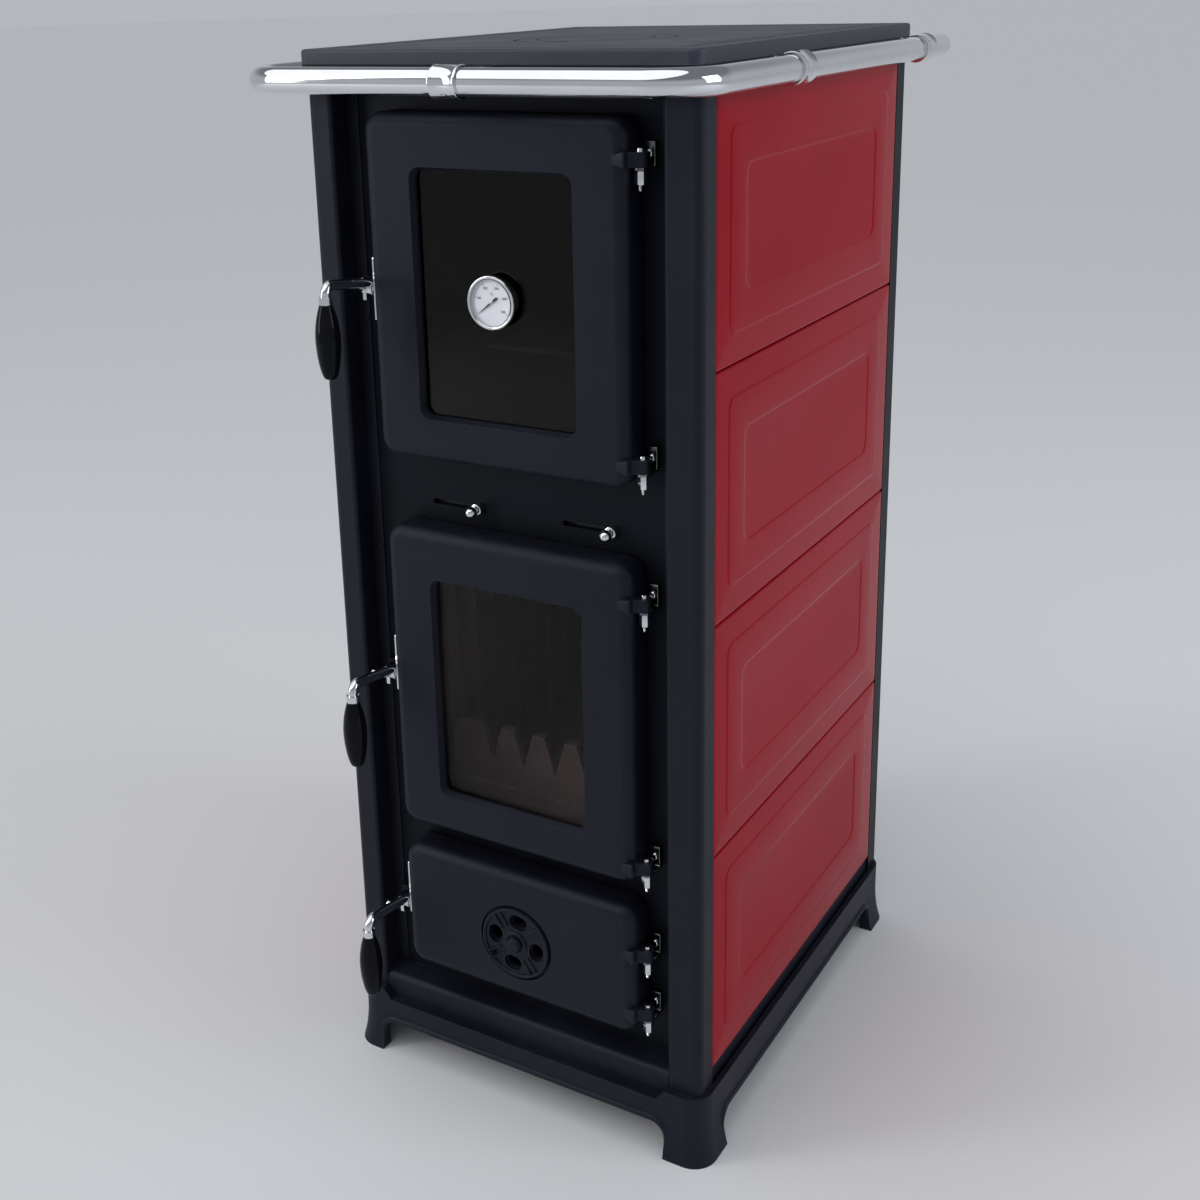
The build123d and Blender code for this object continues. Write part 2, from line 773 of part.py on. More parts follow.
def air_rosette():
    rear = door_front + rosette_recess - fit_gap
    front = rear - rosette_thick
    shape = rod_y(0, rosette_z, rosette_radius, front, rear)
    inner_rim = rosette_radius - rosette_rim
    hub = hub_radius + rosette_rim - 1
    dish = Pos(0, rosette_z) * (Circle(inner_rim) - Circle(hub))
    shape -= upright(dish, front - 1, front + rib_height)
    for angle in rosette_hole_angles():
        shape -= upright(rosette_opening(angle), front - 1, rear + 1)
    for i in range(rosette_holes):
        angle = rosette_turn + i * 360 / rosette_holes
        for step in (-1, 1):
            rib = Pos((inner_rim + hub) / 2, step * rib_spread) * Rectangle(inner_rim - hub + 2, rib_width)
            rib = Pos(0, rosette_z) * (Rot(0, 0, angle) * rib)
            shape += upright(rib, front, front + rib_height + 1)
    long, wide, deep = tab_size
    tab = Pos(inner_rim, 0) * Rectangle(long, wide)
    tab = Pos(0, rosette_z) * (Rot(0, 0, rosette_turn + 180) * tab)
    shape += upright(tab, front - deep, front + 1)
    return shape - rod_y(0, rosette_z, stud_radius + pin_clearance, front - 1, rear + 1)


# Hinges and latches


def hinge_brackets():
    """Angle brackets. Each foot is on the front plate, and its ear carries the pin under the lug."""
    pieces = []
    left, right = hinge_x - bracket_width / 2, hinge_x + bracket_width / 2
    foot_front = plate_front - bracket_thick
    for z in all_hinges:
        low, high = z - ear_bottom, z - ear_top
        shape = block(left, right, foot_front, plate_front, low, z + bracket_rise)
        shape += block(left, right, hinge_y, foot_front, low, high)
        shape += rod_z(hinge_x, hinge_y, bracket_width / 2, low, high)
        shape -= rod_z(hinge_x, hinge_y, pin_radius + pin_clearance, low - 1, high + 1)
        screw_z = z + bracket_screw
        shape -= rod_y(hinge_x, screw_z, screw_radius + screw_clearance, foot_front - 1, plate_front + 1)
        pieces.append(shape)
    return Compound(children=pieces)


def hinge_pins():
    """Pins with a round end above the lug, and a nut with a short tip under the bracket's ear."""
    flats, nut_height = nut_size
    tip_radius, tip_length = pin_tip
    nut = Pos(hinge_x, hinge_y) * RegularPolygon(flats / 2, 6, major_radius=False)
    pieces = []
    for z in all_hinges:
        bottom = z - ear_bottom
        shape = rod_z(hinge_x, hinge_y, pin_radius, bottom - 1, z + pin_rise)
        shape = fillet(shape.edges().sort_by(Axis.Z)[-1], pin_radius / 2)
        shape += level(nut, bottom - nut_height, bottom)
        tip_top = bottom - nut_height
        shape += rod_z(hinge_x, hinge_y, tip_radius, tip_top - tip_length, tip_top + 1)
        pieces.append(shape)
    return Compound(children=pieces)


def latch_mount(z, plate_z):
    """Chrome plate on the door's left edge, with the stud that the handle turns on."""
    thick, deep, high = latch_plate
    edge = -door_half_width
    middle = door_front + latch_setback + deep / 2
    plate = sideways(Pos(middle, plate_z) * RectangleRounded(deep, high, 3), edge - thick, edge)
    stud_end = edge - thick - 2 * boss_gap - boss_width
    shape = plate + rod_x(hinge_y, z, stud_radius, stud_end - stud_head[1], edge - thick)
    return shape + rod_x(hinge_y, z, stud_head[0], stud_end - stud_head[1], stud_end)


def handle_arm(z):
    edge = handle_x + boss_width / 2
    far = edge - boss_width
    boss = rod_x(hinge_y, z, boss_radius, far, edge)
    boss = fillet(boss.edges(), boss_round)
    ferrule_top = z + ferrule_rise
    points = [(hinge_y - 2, z + arm_start_rise), (grip_y, z + arm_rise), (grip_y, ferrule_top)]
    path = Plane.YZ.offset(handle_x) * FilletPolyline(*points, radius=arm_bend)
    start = Plane(origin=path @ 0, z_dir=path % 0)
    arm = sweep(start * Circle(arm_radius), path=path)
    slope = (arm_rise - arm_start_rise) / (handle_reach - 2)
    wide_end = Pos(hinge_y, z + lever_rise) * Circle(lever_radius)
    narrow_z = z + arm_start_rise + slope * lever_length
    narrow_end = Pos(hinge_y - lever_length, narrow_z) * Circle(arm_radius)
    lever = sideways(make_hull([*wide_end.edges(), *narrow_end.edges()]), far, far + lever_width)
    ferrule_radius, ferrule_height = ferrule
    shape = boss + lever + arm
    shape += rod_z(handle_x, grip_y, ferrule_radius, ferrule_top - ferrule_height, ferrule_top)
    thick, reach, high = tongue
    top = z - tongue_drop
    shape += block(far, far + thick, hinge_y - boss_radius, hinge_y + reach, top - high, top)
    return shape - rod_x(hinge_y, z, stud_radius + pin_clearance, far - 1, edge + 1)


def handle_grip(z):
    """Egg-shaped grip that hangs from the ferrule, with a blunt lower end."""
    top = z + ferrule_rise - ferrule[1]
    outline = [
        (grip_neck, 0.0), (grip_radius * 0.8, -0.15), (grip_radius, -0.45), (grip_radius * 0.96, -0.62),
        (grip_radius * 0.72, -0.87), (grip_radius * 0.48, -0.97),
    ]
    points = [(r, share * grip_length) for r, share in outline]
    end = (0, -grip_length)
    curve = Spline(*points) + Spline(points[-1], end, tangents=[(-1, -0.6), (-1, 0)])
    edge = curve + Line(end, (0, 0)) + Line((0, 0), (grip_neck, 0))
    body = revolve(Plane.XZ * make_face(edge), Axis.Z)
    return Pos(handle_x, grip_y, top) * body


def latch_keepers():
    """Block and pin on the front plate, over each handle's tongue."""
    wide, high = keeper_block
    far = handle_x - boss_width / 2
    pieces = []
    pin_y = hinge_y + tongue[1] - keeper_pin
    block_right = far - keeper_side
    for z in handle_heights.values():
        pin_z = z - tongue_drop + keeper_gap + keeper_pin
        low, top = pin_z - high / 2, pin_z + high / 2
        shape = block(block_right - wide, block_right, pin_y - keeper_pin - 1, plate_front, low, top)
        shape += rod_x(pin_y, pin_z, keeper_pin, block_right - 1, far + tongue[0])
        pieces.append(shape)
    return Compound(children=pieces)


# Thermometer


def thermometer_case():
    seat = door_back_wall
    shape = rod_y(0, oven_z, dial_radius, dial_face + dial_thick, seat)
    shape += rod_y(0, oven_z, bezel_radius, bezel_front, bezel_front + bezel_depth)
    shape -= rod_y(0, oven_z, dial_radius, bezel_front - 1, dial_face + dial_thick)
    shape = fillet(shape.edges().group_by(Axis.Y)[0], 0.9)
    return shape + rod_y(0, oven_z, stem_radius, seat - 1, seat + stem_length)


def thermometer_dial():
    return rod_y(0, oven_z, dial_radius - 0.1, dial_face, dial_face + dial_thick)


def thermometer_lens():
    return rod_y(0, oven_z, dial_radius - 0.1, bezel_front + 0.4, bezel_front + 0.4 + lens_thick)


def thermometer_pointer():
    rear = dial_face - 0.5
    hand = Pos(0, (pointer_length - pointer_tail) / 2) * Rectangle(1.1, pointer_length + pointer_tail)
    tail = Pos(0, -pointer_tail + 1.5) * Rectangle(2.2, 3.0)
    hand = (hand + tail) + Circle(pointer_hub)
    turned = Pos(0, oven_z) * (Rot(0, 0, -pointer_rest) * hand)
    return upright(turned, rear - pointer_thick, rear)


# Damper slides


def damper_slide(knob_x):
    length, thick, high = slide_bar
    end = knob_x + slide_bar_lead
    low = slot_z - high / 2
    shape = block(end - length, end, slide_bar_front, slide_bar_front + thick, low, low + high)
    ball_y = plate_front - knob_stand
    shape += rod_y(knob_x, slot_z, slide_stem, ball_y, slide_bar_front)
    collar_radius, collar_reach = knob_collar
    shape += rod_y(knob_x, slot_z, collar_radius, plate_front - collar_reach, plate_front - fit_gap)
    return shape + Pos(knob_x, ball_y, slot_z) * Sphere(knob_radius)


# Oven, firebox and ash compartment


def oven_liner():
    front = plate_rear + fit_gap
    rear = front + oven_depth
    shape = block(-oven_half_width, oven_half_width, front, rear, oven_bottom, oven_top)
    inner = oven_half_width - oven_sheet
    shape -= block(
        -inner, inner, front - 1, rear - oven_sheet, oven_bottom + oven_sheet, oven_top - oven_sheet
    )
    for z in runner_heights:
        for side in (-1, 1):
            x0, x1 = sorted((side * (inner - runner[0]), side * inner))
            shape += block(x0, x1, front + 6, rear - oven_sheet, z - runner[1], z)
    return shape


def oven_rack():
    z = runner_heights[0]
    reach = oven_half_width - oven_sheet - 2.0
    front = plate_rear + 12.0
    rear = front + rack_depth
    wire = rack_frame_wire
    shape = total(
        [rod_y(side * (reach - wire), z + wire, wire, front, rear) for side in (-1, 1)]
        + [rod_x(y, z + wire, wire, wire - reach, reach - wire) for y in (front + wire, rear - wire)]
    )
    for i in range(rack_bars):
        x = (i - (rack_bars - 1) / 2) * 2 * (reach - wire) / (rack_bars + 1)
        shape += rod_y(x, z + wire, rack_wire, front + wire, rear - wire)
    return shape


def grooved_plate(length, height, thick):
    """Cast lining plate lying in X and Z with upright grooves on its front, y from 0 to thick."""
    shape = block(0, length, 0, thick, 0, height)
    pitch = length / lining_grooves
    for i in range(lining_grooves):
        shape -= rod_z(pitch * (i + 0.5), -2.0, pitch * 0.36, 12.0, height - 12.0)
    return shape


def fire_lining():
    front = plate_rear + fit_gap
    inner = oven_half_width - lining_thick
    side_length = lining_depth
    side = grooved_plate(side_length, lining_height, lining_thick)
    left = Pos(-inner, front, floor_z) * (Rot(0, 0, 90) * side)
    right = mirror(left, Plane.YZ)
    back = grooved_plate(2 * oven_half_width, lining_height, lining_thick)
    back = Pos(-oven_half_width, front + side_length + fit_gap, floor_z) * back
    return Compound(children=[left, right, back])


def grate_middle():
    return plate_rear + fit_gap + lining_depth / 2


def firebox_floor():
    edge = liner_inner - fit_gap
    shape = block(-edge, edge, plate_rear + fit_gap, back_front - fit_gap, floor_z - floor_thick, floor_z)
    x, y = grate_half
    middle = grate_middle()
    shape -= block(-x + 8, x - 8, middle - y + 8, middle + y - 8, floor_z - floor_thick - 1, floor_z + 1)
    return shape - block(-x, x, middle - y, middle + y, floor_z - floor_thick / 2, floor_z + 1)


def fire_grate():
    x, y = grate_half
    middle = grate_middle()
    x -= 1.0
    y -= 1.0
    shape = block(-x, x, middle - y, middle + y, floor_z - floor_thick / 2, floor_z)
    pitch = 2 * (x - 6) / grate_bars
    slot = SlotOverall(2 * y - 24, pitch - grate_bar)
    for i in range(grate_bars):
        place = Pos(-x + 6 + pitch * (i + 0.5), middle) * (Rot(0, 0, 90) * slot)
        shape -= level(place, floor_z - floor_thick, floor_z + 1)
    return shape


def log_guard():
    """Upright plate with flat-topped teeth that keeps logs off the glass."""
    edge = oven_half_width - lining_thick - 2.0
    top_half = guard_tooth / 2
    count = (guard_teeth - 1) // 2
    right = [(top_half, guard_top_z)]
    for i in range(count):
        notch = guard_pitch * (i + 0.5)
        right += [(notch, guard_notch_z), (guard_pitch * (i + 1) - top_half, guard_top_z)]
        if i < count - 1:
            right.append((guard_pitch * (i + 1) + top_half, guard_top_z))
    right.append((edge, guard_top_z))
    right.append((edge, floor_z))
    left = [(-x, z) for x, z in reversed(right)]
    outline = Polyline(*(left + right), close=True)
    front = plate_rear + guard_setback
    shape = upright(make_face(outline), front, front + guard_thick)
    rib = block(-edge + 18, edge - 18, front - 2, front, floor_z + 30, floor_z + 34)
    return shape + rib


def smoke_baffle():
    edge = liner_inner - fit_gap
    front, rear = plate_rear + fit_gap, plate_rear + baffle_depth
    return block(-edge, edge, front, rear, baffle_z, baffle_z + baffle_thick)


def ash_shelf():
    edge = liner_inner - fit_gap
    return block(-edge, edge, plate_rear + fit_gap, back_front - fit_gap, shelf_z, shelf_z + shelf_thick)


def ash_pan():
    low = shelf_z + shelf_thick
    front = plate_rear + 6.0
    sheet = pan_sheet
    reach = pan_half_width
    shape = block(-reach, reach, front, front + pan_depth, low, low + pan_height)
    rear = front + pan_depth - sheet
    inner = reach - sheet
    shape -= block(-inner, inner, front + sheet, rear, low + sheet, low + pan_height + 1)
    grip_z = low + pan_height * 0.6
    pull = block(-30, 30, front - 12, front, grip_z - 2, grip_z + 2)
    return shape + pull


def flue_collar():
    outer = flue_bore + flue_wall
    tube = rod_y(0, flue_z, outer, back_face, body_rear + flue_length)
    tube += rod_y(0, flue_z, flue_flange[0], back_face, back_face + flue_flange[1])
    return tube - rod_y(0, flue_z, flue_bore, back_front, body_rear + flue_length + 1)


def screw(x, z, seat, head):
    """Screw that goes to the rear, with a round head in front of its seat."""
    head_radius, head_height = head
    shape = rod_y(x, z, head_radius, seat - head_height, seat)
    shape += rod_y(x, z, screw_radius, seat - 1, plate_front + screw_length)
    return shape - rod_y(x, z, screw_radius * 0.8, seat - head_height - 1, seat - head_height / 2)


def body_screws():
    pieces = [screw(x, z, plate_front - bracket_thick, screw_head) for x, z in hinge_screws()]
    pieces += [screw(x, z, plate_front, panel_screw_head) for x, z in panel_screws()]
    head_radius, head_height = screw_head
    for x, z in back_screw_places():
        pieces.append(rod_y(x, z, head_radius, body_rear, body_rear + head_height))
    return Compound(children=pieces)


nodes = {
    "base_plinth": base_plinth(),
    "front_sill": front_sill(),
    "front_plate": front_plate(),
    "side_liners": side_liners(),
    "back_panel": back_panel(),
    "top_frame": top_frame(),
    "cooktop_plate": cooktop_plate(),
    "cooktop_lid": cooktop_lid(),
    "hand_rail": hand_rail(),
    "rail_clips": rail_clips(),
    "hinge_brackets": hinge_brackets(),
    "hinge_pins": hinge_pins(),
    "latch_keepers": latch_keepers(),
    "oven_door": glass_door(oven_door_bottom, oven_door_height, oven_window_bottom, oven_hinges),
    "oven_door_glass": oven_door_glass(),
    "oven_door_seal": door_seal(oven_door_bottom, oven_door_height),
    "fire_door": glass_door(fire_door_bottom, fire_door_height, fire_window_bottom, fire_hinges),
    "fire_door_glass": door_glass(fire_window_bottom),
    "fire_door_seal": door_seal(fire_door_bottom, fire_door_height),
    "ash_door": ash_door(),
    "ash_door_seal": door_seal(ash_door_bottom, ash_door_height),
    "air_rosette": air_rosette(),
    "thermometer_case": thermometer_case(),
    "thermometer_dial": thermometer_dial(),
    "thermometer_lens": thermometer_lens(),
    "thermometer_pointer": thermometer_pointer(),
    "oven_damper_slide": damper_slide(slide_knobs["oven"]),
    "flue_damper_slide": damper_slide(slide_knobs["flue"]),
    "oven_liner": oven_liner(),
    "oven_rack": oven_rack(),
    "fire_lining": fire_lining(),
    "firebox_floor": firebox_floor(),
    "fire_grate": fire_grate(),
    "log_guard": log_guard(),
    "smoke_baffle": smoke_baffle(),
    "ash_shelf": ash_shelf(),
    "ash_pan": ash_pan(),
    "flue_collar": flue_collar(),
    "body_screws": body_screws(),
}
for side, word in ((-1, "left"), (1, "right")):
    nodes[f"post_front_{word}"] = corner_post(side)
    nodes[f"rear_trim_{word}"] = rear_trim(side)
    for row in range(panel_count):
        nodes[f"side_panel_{word}_{row + 1}"] = side_panel(side, row)
for door, height in handle_heights.items():
    nodes[f"{door}_latch_plate"] = latch_mount(height, plate_heights[door])
    nodes[f"{door}_handle_arm"] = handle_arm(height)
    nodes[f"{door}_handle_grip"] = handle_grip(height)

os.makedirs("parts", exist_ok=True)
for name, shape in nodes.items():
    export_step(shape, f"parts/{name}.step")
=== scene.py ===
import json
import math

import bmesh
import bpy
from mathutils import Matrix, Vector


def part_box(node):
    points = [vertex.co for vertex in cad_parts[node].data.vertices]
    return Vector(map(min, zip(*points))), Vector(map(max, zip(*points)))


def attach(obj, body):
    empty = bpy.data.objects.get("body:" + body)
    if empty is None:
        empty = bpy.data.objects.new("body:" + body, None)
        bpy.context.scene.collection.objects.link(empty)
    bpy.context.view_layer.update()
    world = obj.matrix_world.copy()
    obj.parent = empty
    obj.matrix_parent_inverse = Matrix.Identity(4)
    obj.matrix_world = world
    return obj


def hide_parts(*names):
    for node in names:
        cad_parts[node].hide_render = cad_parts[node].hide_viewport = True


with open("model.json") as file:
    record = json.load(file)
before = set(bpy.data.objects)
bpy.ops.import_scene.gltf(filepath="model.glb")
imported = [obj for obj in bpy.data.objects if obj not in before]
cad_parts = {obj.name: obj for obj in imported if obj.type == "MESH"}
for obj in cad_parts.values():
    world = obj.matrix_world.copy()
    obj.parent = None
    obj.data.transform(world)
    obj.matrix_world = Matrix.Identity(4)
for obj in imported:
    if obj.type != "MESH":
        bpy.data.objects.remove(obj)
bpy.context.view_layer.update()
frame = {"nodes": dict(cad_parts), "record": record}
nodes = frame["nodes"]
MM = 0.001

# Camera, fitted to the stove's corners in the photograph
CAMERA_AT = Vector((762.2, -1412.19, 1136.8)) * MM
CAMERA_YAW = math.radians(-31.8164)
CAMERA_PITCH = math.radians(-16.9709)
CAMERA_ROLL = math.radians(-1.7443)
CAMERA_LENS, CAMERA_SENSOR = 47.0115, 36.0
CAMERA_SHIFT = (0.0549, -0.1194)
CAMERA_NEAR = 0.05


def make_camera():
    """A camera turned by its yaw and pitch, and then rolled about its line of sight."""
    data = bpy.data.cameras.new("photo_camera")
    camera = bpy.data.objects.new("photo_camera", data)
    bpy.context.scene.collection.objects.link(camera)
    ahead = Vector((
        math.sin(CAMERA_YAW) * math.cos(CAMERA_PITCH),
        math.cos(CAMERA_YAW) * math.cos(CAMERA_PITCH),
        math.sin(CAMERA_PITCH),
    ))
    right = Vector((math.cos(CAMERA_YAW), -math.sin(CAMERA_YAW), 0.0))
    up = right.cross(ahead)
    rolled_right = right * math.cos(CAMERA_ROLL) + up * math.sin(CAMERA_ROLL)
    rolled_up = up * math.cos(CAMERA_ROLL) - right * math.sin(CAMERA_ROLL)
    turn = Matrix((rolled_right, rolled_up, -ahead)).transposed()
    camera.matrix_world = Matrix.Translation(CAMERA_AT) @ turn.to_4x4()
    data.lens = CAMERA_LENS
    data.sensor_width = CAMERA_SENSOR
    data.shift_x, data.shift_y = CAMERA_SHIFT
    data.clip_start = CAMERA_NEAR
    bpy.context.scene.camera = camera


# Helpers for shader nodes
def node(tree, kind, **settings):
    """Adds a node, and sets its own settings."""
    made = tree.nodes.new(kind)
    for key, value in settings.items():
        setattr(made, key, value)
    return made


def set_inputs(made, **values):
    """Sets a node's sockets by name, with underscores for spaces."""
    for key, value in values.items():
        made.inputs[key.replace("_", " ")].default_value = value
    return made


def new_material(name):
    """A new material, its node tree and its shader."""
    material = bpy.data.materials.new(name)
    material.use_nodes = True
    return material, material.node_tree, material.node_tree.nodes["Principled BSDF"]


# Stage and light
FLOOR_COLOUR = (0.66, 0.67, 0.69, 1.0)
FLOOR_RADIUS = 60.0
HORIZON_COLOUR, HORIZON_RISE = (0.462, 0.478, 0.508, 1.0), 0.16
OVERHEAD_COLOUR, OVERHEAD_RISE = (0.20, 0.21, 0.23, 1.0), 0.55
OVERHEAD_SPREAD = math.radians(80.0)
STOVE_MIDDLE = (0, 0, 0.6)


def make_world():
    """A pale band round the horizon under a darker ceiling, so that chrome has something to show."""
    world = bpy.data.worlds.new("studio")
    bpy.context.scene.world = world
    world.use_nodes = True
    tree = world.node_tree
    tree.nodes.clear()
    out = node(tree, "ShaderNodeOutputWorld")
    plain = node(tree, "ShaderNodeBackground")
    place = node(tree, "ShaderNodeTexCoord")
    split = node(tree, "ShaderNodeSeparateXYZ")
    ramp = node(tree, "ShaderNodeValToRGB")
    ramp.color_ramp.interpolation = "EASE"
    horizon, overhead = ramp.color_ramp.elements
    horizon.position, horizon.color = HORIZON_RISE, HORIZON_COLOUR
    overhead.position, overhead.color = OVERHEAD_RISE, OVERHEAD_COLOUR
    tree.links.new(place.outputs["Generated"], split.inputs[0])
    tree.links.new(split.outputs["Z"], ramp.inputs["Fac"])
    tree.links.new(ramp.outputs["Color"], plain.inputs["Color"])
    tree.links.new(plain.outputs[0], out.inputs["Surface"])


def make_floor():
    """A plain pale disc that reaches the horizon."""
    bm = bmesh.new()
    bmesh.ops.create_circle(bm, cap_ends=True, segments=96, radius=FLOOR_RADIUS)
    mesh = bpy.data.meshes.new("floor")
    bm.to_mesh(mesh)
    bm.free()
    floor = bpy.data.objects.new("floor", mesh)
    bpy.context.scene.collection.objects.link(floor)
    material, _, shader = new_material("pale floor")
    set_inputs(shader, Base_Color=FLOOR_COLOUR, Roughness=0.8, Specular_IOR_Level=0.2)
    mesh.materials.append(material)


def hang_lamp(name, kind, place, aim, power, colour):
    """Hangs a lamp that shines from its place towards its aim, and returns its data."""
    data = bpy.data.lights.new(name, kind)
    data.energy = power
    data.color = colour
    lamp = bpy.data.objects.new(name, data)
    bpy.context.scene.collection.objects.link(lamp)
    lamp.location = place
    lamp.rotation_euler = (Vector(aim) - Vector(place)).to_track_quat("-Z", "Y").to_euler()
    return data


def softbox(name, place, size, power, colour):
    """An upright rectangular light that faces the middle of the stove."""
    data = hang_lamp(name, "AREA", place, STOVE_MIDDLE, power, colour)
    data.shape = "RECTANGLE"
    data.size, data.size_y = size


def make_lights():
    """A wide soft light from above, and one softbox on each side."""
    overhead = hang_lamp("overhead light", "SUN", (-0.45, -0.55, 1.6), (0, 0, 0), 1.5, (1.0, 1.0, 1.0))
    overhead.angle = OVERHEAD_SPREAD
    softbox("left softbox", (-2.6, -2.4, 1.7), (0.9, 2.4), 34, (1.0, 0.99, 0.97))
    softbox("right softbox", (3.0, 0.4, 1.9), (1.6, 2.0), 38, (0.95, 0.975, 1.0))


# Shared material effects
PIT_SCALE, PIT_DEPTH = 0.55, 0.35               # pits of the casting, as shares of the fine grain
NOISE_SPAN = {"From_Min": 0.3, "From_Max": 0.7}
EDGE_RADIUS = 1.6 * MM
EDGE_SPAN = {"From_Min": 0.985, "From_Max": 0.86}       # cosine of the bend, from flat to a full edge mark of wear and painted highlight
BREAKUP_SPAN = {"From_Min": 0.38, "From_Max": 0.62}
BREAKUP_SCALE = 60.0


def new_group(name, inputs, outputs):
    """A node group with named number sockets, and its two end nodes."""
    group = bpy.data.node_groups.new(name, "ShaderNodeTree")
    for label, value in inputs.items():
        socket = group.interface.new_socket(name=label, in_out="INPUT", socket_type="NodeSocketFloat")
        socket.default_value = value
    for label in outputs:
        group.interface.new_socket(name=label, in_out="OUTPUT", socket_type="NodeSocketFloat")
    return group, node(group, "NodeGroupInput"), node(group, "NodeGroupOutput")


def make_grain_group():
    """Cast or sprayed grain: a fine height, and a slow mottle for colour and gloss."""
    group, given, result = new_group("surface grain", {"Scale": 400.0, "Mottle Scale": 14.0},
                                     ("Height", "Mottle"))
    place = node(group, "ShaderNodeTexCoord")
    fine = set_inputs(node(group, "ShaderNodeTexNoise"), Detail=4.0, Roughness=0.62)
    pits = node(group, "ShaderNodeTexVoronoi")
    slow = set_inputs(node(group, "ShaderNodeTexNoise"), Detail=5.0, Roughness=0.6)
    wider = node(group, "ShaderNodeMath", operation="MULTIPLY")
    wider.inputs[1].default_value = PIT_SCALE
    both = node(group, "ShaderNodeMath", operation="MULTIPLY_ADD")
    both.inputs[1].default_value = PIT_DEPTH
    for texture in (fine, pits, slow):
        group.links.new(place.outputs["Object"], texture.inputs["Vector"])
    group.links.new(given.outputs["Scale"], fine.inputs["Scale"])
    group.links.new(given.outputs["Scale"], wider.inputs[0])
    group.links.new(wider.outputs[0], pits.inputs["Scale"])
    group.links.new(given.outputs["Mottle Scale"], slow.inputs["Scale"])
    group.links.new(pits.outputs["Distance"], both.inputs[0])
    group.links.new(fine.outputs["Fac"], both.inputs[2])
    group.links.new(both.outputs[0], result.inputs["Height"])
    group.links.new(slow.outputs["Fac"], result.inputs["Mottle"])
    return group


def make_wear_group():
    """Edge mask for rubbed wear and a painted edge highlight: up to the amount on an edge, broken up by
    noise, and 0 on flat faces.
    """
    group, given, result = new_group("edge wear and painted highlight", {"Amount": 1.0}, ("Mask",))
    true_normal = node(group, "ShaderNodeNewGeometry")
    rounded = set_inputs(node(group, "ShaderNodeBevel", samples=4), Radius=EDGE_RADIUS)
    dot = node(group, "ShaderNodeVectorMath", operation="DOT_PRODUCT")
    ramp = set_inputs(node(group, "ShaderNodeMapRange"), **EDGE_SPAN)
    place = node(group, "ShaderNodeTexCoord")
    noise = set_inputs(node(group, "ShaderNodeTexNoise"), Scale=BREAKUP_SCALE, Detail=4.0, Roughness=0.6)
    broken = set_inputs(node(group, "ShaderNodeMapRange"), **BREAKUP_SPAN)
    product = node(group, "ShaderNodeMath", operation="MULTIPLY")
    scaled = node(group, "ShaderNodeMath", operation="MULTIPLY")
    group.links.new(true_normal.outputs["Normal"], dot.inputs[0])
    group.links.new(rounded.outputs["Normal"], dot.inputs[1])
    group.links.new(dot.outputs["Value"], ramp.inputs["Value"])
    group.links.new(place.outputs["Object"], noise.inputs["Vector"])
    group.links.new(noise.outputs["Fac"], broken.inputs["Value"])
    group.links.new(ramp.outputs["Result"], product.inputs[0])
    group.links.new(broken.outputs["Result"], product.inputs[1])
    group.links.new(product.outputs[0], scaled.inputs[0])
    group.links.new(given.outputs["Amount"], scaled.inputs[1])
    group.links.new(scaled.outputs[0], result.inputs["Mask"])
    return group


GRAIN = make_grain_group()
EDGE_WEAR_AND_HIGHLIGHT = make_wear_group()


def use_group(tree, group, **values):
    """Places a shared effect in a material, with its own values."""
    made = node(tree, "ShaderNodeGroup")
    made.node_tree = group
    return set_inputs(made, **values)


def mix_colour(tree, factor, first, second):
    """Mixes two colours, each given as a tuple or as another node's output."""
    made = node(tree, "ShaderNodeMix", data_type="RGBA")
    tree.links.new(factor, made.inputs["Factor"])
    for socket, value in ((made.inputs[6], first), (made.inputs[7], second)):
        if isinstance(value, tuple):
            socket.default_value = (*value, 1.0)
        else:
            tree.links.new(value, socket)
    return made.outputs[2]


def ranged(tree, value, low, high):
    """Spreads the middle of a noise from low to high."""
    made = set_inputs(node(tree, "ShaderNodeMapRange"), **NOISE_SPAN, To_Min=low, To_Max=high)
    tree.links.new(value, made.inputs["Value"])
    return made.outputs["Result"]


def bumped(tree, height, strength, distance):
    """Turns a height into a normal."""
    made = set_inputs(node(tree, "ShaderNodeBump"), Strength=strength, Distance=distance)
    tree.links.new(height, made.inputs["Height"])
    return made.outputs["Normal"]


def surface(name, dark, light, roughness, grain, bump, mottle=14.0, edge_wear_and_highlight_colour=None, edge_wear_and_highlight_amount=0.0, **plain):
    """A painted, cast or plated surface with grain, mottled colour and gloss, and edges lightened partly as
    wear and partly as a painted highlight.
    """
    material, tree, shader = new_material(name)
    set_inputs(shader, **plain)
    speck = use_group(tree, GRAIN, Scale=grain, Mottle_Scale=mottle)
    colour = mix_colour(tree, ranged(tree, speck.outputs["Mottle"], 0.0, 1.0), dark, light)
    if edge_wear_and_highlight_amount:
        # Lightens the edges: partly rubbed wear, partly a painted edge highlight.
        edge_wear_and_highlight_mask = use_group(tree, EDGE_WEAR_AND_HIGHLIGHT, Amount=edge_wear_and_highlight_amount)
        colour = mix_colour(tree, edge_wear_and_highlight_mask.outputs["Mask"], colour, edge_wear_and_highlight_colour)
    tree.links.new(colour, shader.inputs["Base Color"])
    tree.links.new(ranged(tree, speck.outputs["Mottle"], *roughness), shader.inputs["Roughness"])
    tree.links.new(bumped(tree, speck.outputs["Height"], *bump), shader.inputs["Normal"])
    return material


